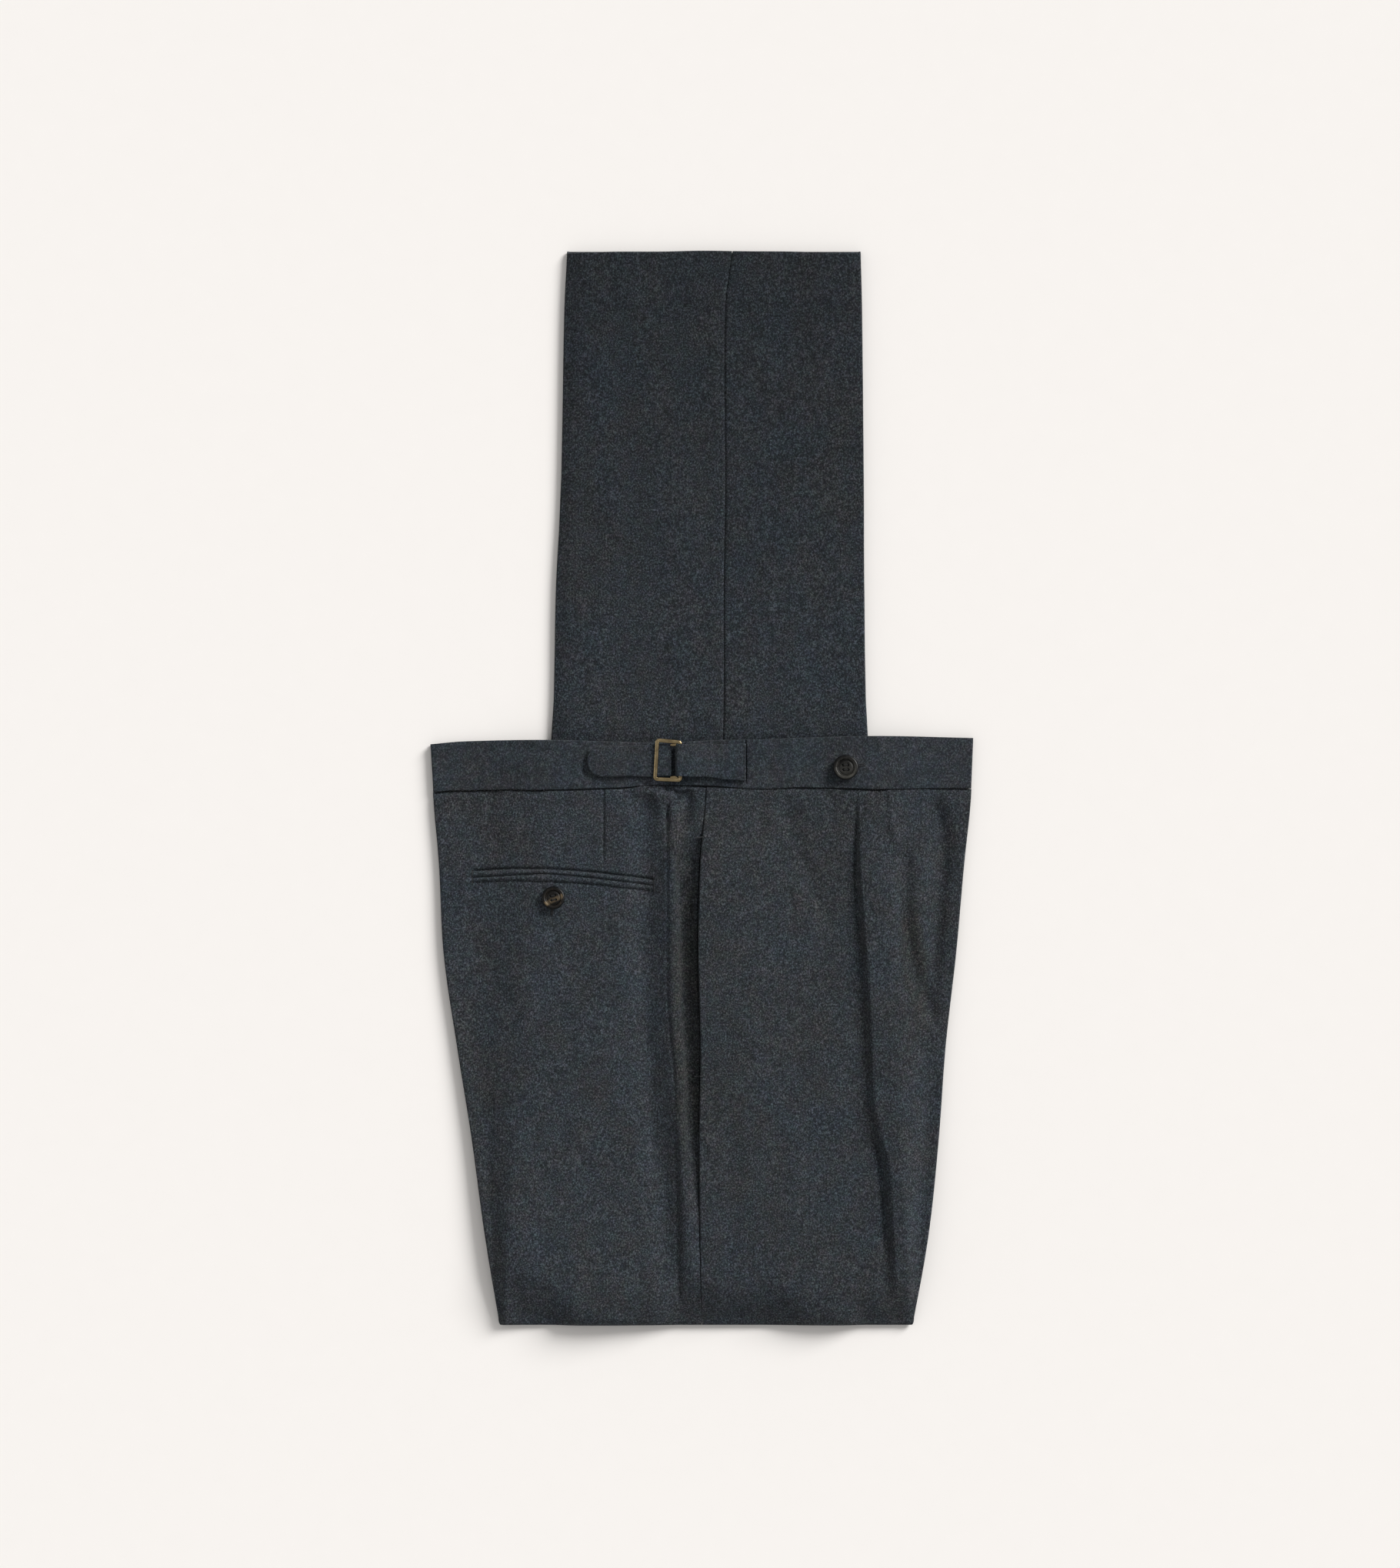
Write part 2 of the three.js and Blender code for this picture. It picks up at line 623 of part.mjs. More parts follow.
add('right_back', panel(legRun, backColumns, outerPoint, legInner), colours.flannel);
add('right_front', panel(legRun, frontColumns, outerPoint, legInner), colours.flannel);
add('left_back', panel(lowerRun, lowerBackColumns, lowerOuter, lowerInner), colours.flannel);
add('left_front', panel(lowerRun, lowerFrontColumns, lowerOuter, lowerInner), colours.flannel);
add('hidden_layers', hiddenLayers(), colours.flannel);
add('waistband_left', band(0), colours.flannel);
add('waistband_right', band(1), colours.flannel);
add('back_pocket_upper_jet', pocketJet('top', 'slit'), colours.flannel);
add('back_pocket_lower_jet', pocketJet('slit', 'foot'), colours.flannel);
add('side_pocket_facing', pocketFacing(), colours.flannel);
add('adjuster_strap', adjusterStrap(), colours.flannel);
add('adjuster_tab', adjusterTab(), colours.flannel);
add('adjuster_buckle', buckleFrame(), colours.brass, 1);

const waistButton = add('waistband_button', button(bandButton), colours.horn);
waistButton.position.set(bandButton.x, bandButton.y, bandTop(bandButton.x) + gap + 0.5);
waistButton.rotation.set(0.02, 0.02, 0.6);

const backButton = add('back_pocket_button', button(pocketButton), colours.horn);
backButton.position.set(
  pocketButton.x, pocketButton.y, seatTop(pocketButton.x, pocketButton.y) + gap + 0.5,
);
backButton.rotation.set(0.02, -0.04, 0.3);

export default trousers;
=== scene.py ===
import bpy
import numpy as np
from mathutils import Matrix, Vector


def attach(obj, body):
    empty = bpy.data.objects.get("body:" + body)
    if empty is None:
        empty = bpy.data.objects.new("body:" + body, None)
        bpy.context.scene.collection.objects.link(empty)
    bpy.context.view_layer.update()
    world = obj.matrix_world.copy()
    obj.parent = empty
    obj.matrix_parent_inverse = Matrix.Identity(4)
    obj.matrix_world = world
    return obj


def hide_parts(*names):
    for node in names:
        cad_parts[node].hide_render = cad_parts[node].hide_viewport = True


# Pleated wool trousers, folded in half along their creases and again at the knee,
# lying on a pale floor with the right side up. X runs from the back crease to the
# front crease, Y from the knee fold over the waistband to the hems, Z up.
# Sizes are in millimetres; a mesh is scaled to metres when it is made.

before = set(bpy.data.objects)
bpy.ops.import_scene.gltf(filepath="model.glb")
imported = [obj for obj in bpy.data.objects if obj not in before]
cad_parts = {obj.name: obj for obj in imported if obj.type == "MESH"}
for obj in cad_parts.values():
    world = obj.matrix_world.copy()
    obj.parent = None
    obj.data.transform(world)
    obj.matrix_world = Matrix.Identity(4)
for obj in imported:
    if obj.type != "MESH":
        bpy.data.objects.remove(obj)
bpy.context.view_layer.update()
print("frame loaded:", len(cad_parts), "nodes")

garment = {
    "cloth": 1.3,         # flannel with its nap
    "gap": 0.3,
    "legStack": 7.0,      # four pressed layers of the lower legs
    "edgeRound": 2.8,     # a pressed crease seen from its end: how far it turns down
    "edgeWide": 1.1,      # and how far in from the edge it starts to
    "kneeCentre": -379.2,
    "kneeReach": 5.5,
    "kneeStart": 0.6,     # sine of the angle at which the turn takes over from the fall
    "hemY": 384.7,
    "floorStrip": 0.25,   # share of an overhanging side that lies on the floor
    "settle": 2.5,
}

seatSections = {
    "y": [34, -9, -52, -118, -184, -250, -316, -384],
    "back": [-194.7, -192.2, -188.5, -185, -175.5, -165, -156, -145],
    "seam": [4, 2.8, -1, -2.7, -1, -2, -1.5, 0],
    "front": [194.7, 193.0, 188.5, 182.5, 175, 170, 163, 151.5],
    "stack": [5.2, 5.0, 5.2, 5.6, 6.2, 7.6, 9.4, 10.6],
}

legSections = {
    "y": [385, 343, 212, 145, 38, -384],
    "back": [-96.5, -98.5, -101, -104.5, -107.5, -145],
    "seam": [22, 17, 17, 16, 15.5, 0],
    "front": [114, 115, 116.3, 116.6, 119, 151.5],
}

bandLine = {
    "x": [-194.7, -170, -110, -66, -30, 10, 38, 80, 130, 194.7],
    "low": [-2.5, -1.6, -1.2, 0, 2.2, 1.4, -0.4, 0.4, -0.6, 0],
    "high": [31.5, 33.6, 34.6, 33.4, 32.6, 34.4, 34.8, 36.4, 37.4, 36],
}


# helpers on whole arrays

def along(table, column, at, key="y"):  # smooth cubic through one column of a table
    place = np.asarray(table[key], float)
    value = np.asarray(table[column], float)
    order = np.argsort(place)
    place = place[order]
    value = value[order]
    slope = np.empty_like(value)
    slope[1:-1] = (value[2:] - value[:-2]) / (place[2:] - place[:-2])
    slope[[0, -1]] = (np.diff(value) / np.diff(place))[[0, -1]]
    at = np.clip(at, place[0], place[-1])
    i = np.clip(np.searchsorted(place, at) - 1, 0, len(place) - 2)
    span = place[i + 1] - place[i]
    t = (at - place[i]) / span
    rise = value[i] + (value[i + 1] - value[i]) * (3 - 2 * t) * t * t
    return rise + span * (slope[i] * t * (1 - t) ** 2 - slope[i + 1] * t * t * (1 - t))


def ramp(start, end, value):  # 0 before start, 1 after end, smooth between
    t = np.clip((value - start) / (end - start), 0, 1)
    return t * t * (3 - 2 * t)


def graded(count, places):  # from 0 to 1 in uneven steps, closer near each (place, strength, width)
    t = np.linspace(0, 1, 4001)
    weight = 1 + sum(strong * np.exp(-((t - place) / width) ** 2) for place, strong, width in places)
    total = np.concatenate([[0], np.cumsum((weight[1:] + weight[:-1]) / 2)])
    return np.interp(np.linspace(0, total[-1], count), total, t)


def wander(x, y, size, seed):  # smooth unevenness in -1..1: a few sine waves in mixed directions
    waves = 7
    draw = np.random.default_rng(seed)
    turns = draw.uniform(0, np.pi, waves)
    shifts = draw.uniform(0, 6.28, waves)
    scales = draw.uniform(0.6, 1.6, waves)
    total = np.zeros(np.broadcast(x, y).shape)
    for turn, shift, scale in zip(turns, shifts, scales):
        total += np.sin((x * np.cos(turn) + y * np.sin(turn)) * 6.28 * scale / size + shift)
    return total / (waves / 2)


def crease(high, wide, fadeIn, fadeOut, *path):
    # a ridge, or a trough where `high` is negative, along a line of points in X and Y
    return {"high": high, "wide": wide, "fadeIn": fadeIn, "fadeOut": fadeOut, "path": path}


def creaseRelief(x, y, creases):
    # sum over the creases of height * exp(-(distance to its line / width)^2), fading at its ends
    total = np.zeros(x.shape)
    for one in creases:
        path = np.array(one["path"], float)
        step = np.diff(path, axis=0)
        length = np.hypot(step[:, 0], step[:, 1])
        start = np.concatenate([[0], np.cumsum(length)])
        nearest = np.full(x.shape, 1e9)
        place = np.zeros(x.shape)
        for k in range(len(step)):
            t = ((x - path[k, 0]) * step[k, 0] + (y - path[k, 1]) * step[k, 1]) / length[k] ** 2
            t = np.clip(t, 0, 1)
            away = np.hypot(x - path[k, 0] - t * step[k, 0], y - path[k, 1] - t * step[k, 1])
            closer = away < nearest
            nearest = np.where(closer, away, nearest)
            place = np.where(closer, start[k] + t * length[k], place)
        fadeIn = np.clip(place / one["fadeIn"], 0, 1)
        fadeOut = np.clip((start[-1] - place) / one["fadeOut"], 0, 1)
        fade = (fadeIn * (2 - fadeIn)) * (fadeOut * (2 - fadeOut))
        total += one["high"] * np.exp(-(nearest / one["wide"]) ** 2) * fade
    return total


def bandFoot(x):  # the waistband's lower edge, sewn a little unevenly
    return along(bandLine, "low", x, "x") + 0.3 * wander(x, 0 * x, 34, 31)


def makeMesh(name, points, faces, material):
    mesh = bpy.data.meshes.new(name)
    mesh.from_pydata((np.asarray(points).reshape(-1, 3) * 0.001).tolist(), [], faces)
    mesh.polygons.foreach_set("use_smooth", np.ones(len(mesh.polygons), bool))
    mesh.materials.append(material)
    mesh.validate()
    piece = bpy.data.objects.new(name, mesh)
    bpy.context.collection.objects.link(piece)
    return piece


def quadsOf(rows, columns, first=0, closed=False, flip=False):
    # index quads of a grid of points; `closed` joins the last column to the first
    row = np.arange(rows - 1)[:, None] * columns
    column = np.arange(columns if closed else columns - 1)[None, :]
    after = (column + 1) % columns
    quads = np.stack([row + column, row + after, row + columns + after, row + columns + column], -1)
    quads = quads.reshape(-1, 4) + first
    return quads[:, ::-1] if flip else quads


def outwardFaces(points, quads, caps=()):
    # turns all faces round when the body's signed volume comes out negative
    points = np.asarray(points).reshape(-1, 3)
    a, b, c, d = (points[quads[:, k]] for k in range(4))
    volume = (a * np.cross(b, c)).sum() + (a * np.cross(c, d)).sum()
    faces = quads.tolist() + [list(cap) for cap in caps]
    return faces if volume > 0 else [face[::-1] for face in faces]


def wallMesh(name, outer, inner, material):  # a wall of cloth between two grids of points
    rows, columns = outer.shape[:2]
    count = rows * columns
    grid = np.arange(count).reshape(rows, columns)
    rim = np.concatenate([grid[0, :-1], grid[:-1, -1], grid[-1, :0:-1], grid[:0:-1, 0]])
    nextRim = np.roll(rim, -1)
    sides = np.stack([nextRim, rim, rim + count, nextRim + count], -1)
    quads = np.concatenate([
        quadsOf(rows, columns), quadsOf(rows, columns, count, flip=True), sides,
    ])
    points = np.concatenate([outer.reshape(-1, 3), inner.reshape(-1, 3)])
    return makeMesh(name, points, outwardFaces(points, quads), material)


def loftParts(rings):  # points and faces of closed rings in a row, its ends closed by a flat face
    rows, columns = rings.shape[:2]
    quads = quadsOf(rows, columns, closed=True)
    first = np.arange(columns)[::-1]
    last = np.arange(columns) + (rows - 1) * columns
    return rings.reshape(-1, 3), outwardFaces(rings, quads, (first.tolist(), last.tolist()))


def joined(name, parts, material):  # several closed bodies as one piece
    points = []
    faces = []
    for partPoints, partFaces in parts:
        shift = sum(len(p) for p in points)
        points.append(partPoints)
        faces += [[k + shift for k in face] for face in partFaces]
    return makeMesh(name, np.concatenate(points), faces, material)


def rideAs(piece, slot, *nodes):
    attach(piece, "root")
    if nodes:
        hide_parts(*nodes)
    return piece


# materials

class Wire:  # a socket that Python's operators turn into Math nodes
    def __init__(self, sheet, socket):
        self.sheet = sheet
        self.socket = socket

    def math(self, kind, other, turned=False):
        pair = [other, self] if turned else [self, other]
        return self.sheet.node("ShaderNodeMath", {"operation": kind}, {0: pair[0], 1: pair[1]})

    def __add__(self, other):
        return self.math("ADD", other)

    def __radd__(self, other):
        return self.math("ADD", other, True)

    def __sub__(self, other):
        return self.math("SUBTRACT", other)

    def __rsub__(self, other):
        return self.math("SUBTRACT", other, True)

    def __mul__(self, other):
        return self.math("MULTIPLY", other)

    def __rmul__(self, other):
        return self.math("MULTIPLY", other, True)


class Finish:  # one procedural material
    def __init__(self, name):
        self.material = bpy.data.materials.new(name)
        self.material.use_nodes = True
        self.tree = self.material.node_tree
        self.shader = next(n for n in self.tree.nodes if n.type == "BSDF_PRINCIPLED")
        self.place = self.node("ShaderNodeTexCoord", {}, {}, "Object")

    def node(self, kind, settings, inputs, output=0):
        made = self.tree.nodes.new(kind)
        for key, value in settings.items():
            if key == "stops":
                ends = made.color_ramp.elements
                while len(ends) < len(value):
                    ends.new(0.5)
                for end, (at, colour) in zip(ends, value):
                    end.position = at
                    end.color = (*colour, 1)
            else:
                setattr(made, key, value)
        for key, value in inputs.items():
            if isinstance(value, Wire):
                self.tree.links.new(value.socket, made.inputs[key])
            else:
                made.inputs[key].default_value = value
        return Wire(self, made.outputs[output])

    def millimetres(self, axis):  # the place along X or Y in millimetres
        return self.node("ShaderNodeSeparateXYZ", {}, {0: self.place}, axis) * 1000

    def noise(self, scale, detail=2.0, rough=0.5, stretch=(1, 1, 1)):  # scale is features per metre
        where = self.node("ShaderNodeMapping", {}, {"Vector": self.place, "Scale": stretch})
        return self.node("ShaderNodeTexNoise", {}, {
            "Vector": where, "Scale": scale, "Detail": detail, "Roughness": rough,
        })

    def ramped(self, factor, stops):
        return self.node("ShaderNodeValToRGB", {"stops": stops}, {"Fac": factor})

    def clamped(self, value, low, high, toLow=0.0, toHigh=1.0):
        return self.node("ShaderNodeMapRange", {}, {
            "Value": value, "From Min": low, "From Max": high, "To Min": toLow, "To Max": toHigh,
        })

    def mixed(self, factor, one, other, blend="MIX"):
        return self.node("ShaderNodeMix", {"data_type": "RGBA", "blend_type": blend}, {
            0: factor, 6: one, 7: other,
        }, 2)

    def tinted(self, colour, factor, low, high):  # times a colour that goes from low to high
        return self.mixed(1.0, colour, self.mixed(factor, (*low, 1), (*high, 1)), "MULTIPLY")

    def shaded(self, colour, red, green, blue):  # times three numbers
        shade = self.node("ShaderNodeCombineXYZ", {}, {0: red, 1: green, 2: blue})
        return self.mixed(1.0, colour, shade, "MULTIPLY")

    def bump(self, height, strength, distance, normal=None):
        inputs = {"Height": height, "Strength": strength, "Distance": distance}
        if normal is not None:
            inputs["Normal"] = normal
        return self.node("ShaderNodeBump", {}, inputs)

    def finish(self, **inputs):
        for key, value in inputs.items():
            socket = self.shader.inputs[key.replace("_", " ")]
            if isinstance(value, Wire):
                self.tree.links.new(value.socket, socket)
            else:
                socket.default_value = value
        return self.material


flannelLook = {
    "dark": (0.0076, 0.0091, 0.0108),
    "middle": (0.0250, 0.0292, 0.0342),
    "light": (0.099, 0.113, 0.126),
    "coolFleck": (0.965, 1.00, 1.04),
    "warmFleck": (1.035, 1.00, 0.96),
    "coolPatch": (0.95, 1.01, 1.045),
    "warmPatch": (1.05, 0.985, 0.96),
    "greenDrift": (0.96, 1.04, 0.97),
    "pinkDrift": (1.04, 0.96, 1.03),
    "coolField": (0.972, 1.0, 1.03),
    "warmField": (1.032, 1.0, 0.966),
    # painted shade: the darker, browner colour laid where the side pocket's gap and one valley near the
    # front crease lie in shadow
    "paintedBrownShade": (0.91, 0.848, 0.76),
    "brightness": (0.94, 1.06),
    "grain": 900,      # flecks per metre
    "mottle": 150,     # clumps of fibre
    "patch": 60,       # broad drift of the colour
    "field": 15,       # and the broadest
}


def makeFlannel(name, tone=1.0, hemTone=None, soft=1.0, cool=0.0, paintedBrownShade=()):
    # a melange: fine fibre flecks between dark and light, each a little warmer or cooler, over
    # broader drifts from brown to blue and from pink to green; `soft` above 1 weakens the
    # flecks, `hemTone` darkens the colour evenly towards the hems, and the list of ellipses is
    # painted shade, darker and browner wool where the cloth lies in shadow: middle, half sizes and lean, in
    # millimetres
    look = flannelLook
    sheet = Finish(name)
    fleck = sheet.noise(look["grain"], 3.0, 0.62, (1, 0.8, 1))
    fibre = sheet.noise(look["grain"] * 2.3, 2.0, 0.6, (1, 0.55, 1))
    drift = sheet.noise(look["mottle"], 3.0, 0.6)
    cloth = sheet.ramped(fleck * 0.62 + fibre * 0.28 + drift * 0.10, [
        (0.5 - 0.135 * soft, look["dark"]), (0.50, look["middle"]), (0.5 + 0.155 * soft, look["light"]),
    ])
    hue = sheet.clamped(sheet.noise(look["grain"] * 0.62, 2.0, 0.6, (0.9, 1.1, 1.2)), 0.36, 0.64)
    cloth = sheet.tinted(cloth, hue, look["coolFleck"], look["warmFleck"])
    patch = sheet.clamped(sheet.noise(look["patch"], 3.0, 0.55, (1.1, 0.8, 1)), 0.38, 0.64)
    cloth = sheet.tinted(cloth, patch, look["coolPatch"], look["warmPatch"])
    tint = sheet.clamped(sheet.noise(look["mottle"] * 1.3, 3.0, 0.6), 0.36, 0.64)
    cloth = sheet.tinted(cloth, tint, look["greenDrift"], look["pinkDrift"])
    field = sheet.clamped(sheet.noise(look["field"], 2.0, 0.5), 0.36, 0.64)
    cloth = sheet.tinted(cloth, field, look["coolField"], look["warmField"])
    least, most = look["brightness"]
    brightness = sheet.clamped(sheet.noise(look["patch"] * 0.8, 2.0, 0.5), 0.3, 0.7, least * tone, most * tone)
    # darker evenly towards the hems
    if hemTone is not None:
        brightness = brightness * sheet.clamped(sheet.millimetres(1), 0.0, garment["hemY"], 1.0, hemTone)
    # painted shade: each ellipse darkens and browns the wool where it lies in shadow
    for middle, half, lean in paintedBrownShade:
        alongY = sheet.millimetres(1) - middle[1]
        acrossX = sheet.millimetres(0) - middle[0] - alongY * lean
        away = (acrossX * acrossX) * half[0] ** -2 + (alongY * alongY) * half[1] ** -2
        cloth = sheet.tinted(cloth, sheet.clamped(away, 0.5, 1.15, 1.0, 0.0), (1, 1, 1), look["paintedBrownShade"])
    cloth = sheet.shaded(cloth, brightness * (1 - cool), brightness, brightness * (1 + cool))
    nap = sheet.noise(look["grain"] * 1.4, 4.0, 0.7)
    clump = sheet.noise(look["mottle"] * 0.8, 2.0, 0.5)
    normal = sheet.bump(nap, 0.55, 0.0005, sheet.bump(clump, 0.25, 0.0012))
    return sheet.finish(
        Base_Color=cloth, Roughness=0.95, Normal=normal, Sheen_Weight=0.05, Sheen_Roughness=0.5,
        Specular_IOR_Level=0.15,
    )


def makeBrass():
    # warm metal, duller and browner where it has worn and tarnished
    sheet = Finish("brassFinish")
    tarnish = sheet.noise(240, 3.0, 0.5)
    streak = sheet.noise(2500, 2.0, 0.5, (1, 0.12, 1))
    colour = sheet.ramped(tarnish, [(0.3, (0.22, 0.165, 0.090)), (0.7, (0.33, 0.255, 0.140))])
    rough = sheet.clamped(tarnish * 0.6 + streak * 0.4, 0.3, 0.7, 0.20, 0.36)
    return sheet.finish(
        Base_Color=colour, Metallic=1.0, Roughness=rough, Normal=sheet.bump(streak, 0.04, 0.0002),
    )


# the painted highlight on the raised ring and the painted shade outside the rim change at these shares of
# the radius
hornRing = {"inner": (0.62, 0.69), "outer": (0.81, 0.88)}  # where its shade changes: shares of the radius


def makeHorn(name, dark, pale, rim, veinAndHighlight=None):
    # polished horn: long wavy streaks from nearly black to honey brown, with a painted highlight
    # on the raised ring and painted shade outside it; `rim` is the button's middle and radius in
    # millimetres, and the last argument a point, a direction in radians and a half width, where one pale
    # streak runs, partly the horn's own streak and partly a painted highlight
    sheet = Finish(name)
    streak = sheet.noise(180, 5.0, 0.65, (1.0, 0.28, 1.0))
    cloud = sheet.noise(420, 2.0, 0.5)
    mixture = streak * 0.75 + cloud * 0.25
    x = sheet.millimetres(0)
    y = sheet.millimetres(1)
    middleX, middleY, radius = rim
    # painted shade: the waist button is darker in its upper half and lighter below, as the light falls on it
    if veinAndHighlight is None:  # darker in its upper half
        mixture = mixture + sheet.clamped(y, middleY - 4, middleY + 4, 0.12, -0.06)
    else:
        # partly painted highlight: a pale streak laid along a line, standing partly for the horn's own
        # streak and partly for a highlight
        point, turn, wide = veinAndHighlight
        away = (y - point[1]) * float(np.cos(turn)) - (x - point[0]) * float(np.sin(turn))
        mixture = mixture * 0.6 + sheet.clamped(away * away, 0.0, wide ** 2, 0.34, 0.06)
    between = tuple(0.5 * (a + b) for a, b in zip(dark, pale))
    colour = sheet.ramped(mixture, [(0.38, dark), (0.52, between), (0.68, pale)])
    outward = (x - middleX) * (x - middleX) + (y - middleY) * (y - middleY)
    inner = [(share * radius) ** 2 for share in hornRing["inner"]]
    outer = [(share * radius) ** 2 for share in hornRing["outer"]]
    # painted light: the dish is darkened, the raised ring lightened as a painted highlight, and the outside
    # of the rim darkened almost to black as painted shade
    shade = sheet.clamped(outward, *outer, 1.0, 0.05) * sheet.clamped(outward, *inner, 0.65, 1.6)
    return sheet.finish(
        Base_Color=sheet.shaded(colour, shade, shade, shade),
        Roughness=sheet.clamped(cloud, 0.3, 0.7, 0.26, 0.42),
        Normal=sheet.bump(cloud, 0.08, 0.0003), Specular_IOR_Level=0.22,
    )


def makeThread(name, dark, pale):
    # two-ply thread: fine slanting twist
    sheet = Finish(name)
    twist = sheet.noise(5200, 2.0, 0.5, (1, 1, 0.4))
    colour = sheet.ramped(twist, [(0.35, dark), (0.7, pale)])
    return sheet.finish(Base_Color=colour, Roughness=0.75, Normal=sheet.bump(twist, 0.4, 0.0002))


# painted shade: the back panel's ellipse darkens the shadowed strip in the side pocket's gap, and the front
# panel's ellipse darkens a shadowed valley near the front crease
flannel = makeFlannel("flannel", 0.965, paintedBrownShade=[((-11, -150), (11, 140), -0.026)])
flannelFront = makeFlannel("flannelFront", 0.905, paintedBrownShade=[((152, -122), (10, 50), -0.10)])
flannelBand = makeFlannel("flannelBand", 0.93, soft=1.3, cool=0.02)
flannelLeg = makeFlannel("flannelLeg", 0.88, hemTone=0.68, soft=0.97, cool=0.02)
brass = makeBrass()
thread = makeThread("threadFinish", (0.010, 0.011, 0.013), (0.040, 0.043, 0.048))
threadDark = makeThread("threadDark", (0.004, 0.004, 0.004), (0.012, 0.012, 0.012))
print("materials made")


# the height of the right side's top cloth

def heldUp(x, y):  # 0 where the cloth lies on the floor, 1 where the lower legs hold it up
    back = along(seatSections, "back", y)
    front = along(seatSections, "front", y)
    legBack = along(legSections, "back", y)
    legFront = along(legSections, "front", y)
    share = garment["floorStrip"]
    settle = garment["settle"]
    fromBack = ramp(back + share * (legBack - back), legBack + settle, x)
    fromFront = ramp(-front + share * (front - legFront), -legFront + settle, -x)
    return np.minimum(fromBack, fromFront)


# crease(height, width, length it fades in over, length it fades out over, points of its line)
backCreases = [
    # the ridge of the side pocket's seam allowances, the valley beside it and two fine lines
    crease(2.9, 5.4, 46, 150, (-19, -8), (-20, -41), (-22, -69), (-20.8, -102), (-20.4, -160),
        (-16.8, -201), (-15.6, -234), (-13.4, -267), (-11, -300), (-10, -333), (-8.6, -374)),
    crease(-4.4, 9.5, 14, 50, (-38, -4), (-40, -50), (-41, -96), (-39.5, -151), (-37.5, -206),
        (-34.5, -240), (-29.5, -270), (-25.5, -300), (-23, -330), (-21, -368)),
    crease(-1.4, 1.6, 40, 12, (-19.6, -236), (-17.9, -270), (-17.4, -300), (-16.6, -335),
        (-16, -370)),
    crease(-1.2, 0.9, 6, 50, (-24.4, -8), (-24.4, -60), (-24.2, -150), (-22, -180), (-19.6, -205),
        (-18.6, -240)),
    # the crooked tuck below the buckle
    crease(-2.6, 1.7, 4, 14, (-28, -0.5), (-19.5, -2), (-16, -7.5), (-19, -10.5), (-24, -13),
        (-24.8, -19), (-24, -30)),
    crease(1.6, 4.0, 4, 12, (-36, -5), (-24, -6.5), (-32, -20)),
    crease(-4.2, 5.0, 2, 22, (-12, -1), (-10.5, -12), (-14, -34)),
    # drags from the pocket's ends, and the edge of its bag below the cloth
    crease(-1.0, 4.5, 8, 10, (-146, -31), (-164, -55)),
    crease(-0.8, 4.5, 8, 10, (-58, -24), (-45, -43)),
    crease(0.9, 3.0, 10, 24, (-148, -40), (-170, -64), (-173, -104)),
    # puckers below the waistband
    crease(-0.8, 3.4, 2, 20, (-150, -2), (-153, -34)),
    crease(0.6, 4.0, 2, 26, (-133, -2), (-136, -44)),
    crease(-0.7, 3.6, 2, 20, (-97, -3), (-99, -36)),
    crease(-1.0, 3.2, 2, 18, (-52, -2), (-44, -30)),
    crease(1.0, 4.0, 2, 20, (-36, 0), (-31, -14), (-33, -36)),
    # long soft waves of the thigh
    crease(-0.5, 13, 40, 60, (-150, -120), (-124, -230), (-108, -340)),
    crease(0.5, 15, 40, 60, (-74, -100), (-86, -210), (-92, -340)),
    crease(-0.5, 8, 30, 30, (-60, -150), (-52, -230), (-54, -320)),
    crease(0.5, 9, 30, 30, (-168, -110), (-150, -200), (-142, -290)),
]

frontCreases = [
    # two valleys near the front crease
    crease(-4.2, 6.4, 16, 60, (166, -6), (172.4, -30), (172.4, -51), (170.6, -76), (168, -100),
        (166, -130), (163, -160)),
    crease(-4.0, 5.6, 26, 24, (144, -34), (145.6, -72), (146.4, -100), (149.4, -118), (154.5, -136),
        (161.0, -154), (168, -172)),
    # the deepest line of the main pleat
    crease(-1.7, 1.7, 16, 30, (111.2, -20), (110.8, -40), (111.0, -60), (112.0, -80), (113.8, -104),
        (115.0, -124)),
    # the valley on the lower thigh, and puckers and soft waves
    crease(-2.2, 2.8, 30, 40, (117.4, -150), (118.2, -190), (119.8, -226), (127.5, -262),
        (130.4, -300), (134, -345)),
    crease(-1.5, 6.0, 10, 24, (57, -6), (71, -47), (82, -80), (98, -106)),
    crease(-0.9, 4, 4, 16, (40, -3), (44, -34)),
    crease(-0.9, 4, 3, 18, (92, -2), (95, -38)),
    crease(0.7, 4, 3, 18, (72, -2), (76, -26)),
    crease(0.8, 15, 40, 60, (28, -60), (36, -180), (44, -320)),
    crease(-0.9, 11, 40, 60, (66, -150), (80, -250), (90, -345)),
    crease(0.9, 9, 40, 40, (150, -180), (148, -260), (146, -340)),
    crease(-0.7, 8, 30, 40, (22, -220), (18, -290), (26, -350)),
    crease(-1.0, 5, 20, 30, (166, -200), (160, -270), (153, -345)),
]

darts = [
    crease(-0.6, 0.9, 1, 16, (-116, 0), (-120, -24), (-125.4, -46)),
    crease(-1.2, 0.9, 1, 14, (-70, 0), (-70.4, -58)),
]

# the back pocket's welts: their upper and lower edges and the slit between them
jetLines = {
    "x": [-164, -138, -112, -79, -35],
    "top": [-59.4, -57.7, -57.7, -59.9, -65.2],
    "slit": [-64.1, -62.5, -61.2, -64.0, -69.6],
    "foot": [-67.4, -66.3, -66.8, -68.6, -73.7],
}


def weltGroove(line, high, wide):  # runs 1 mm past both ends of the welts
    x = [jetLines["x"][0] - 1, *jetLines["x"][1:-1], jetLines["x"][-1] + 1]
    return crease(high, wide, 1, 1, *zip(x, jetLines[line]))


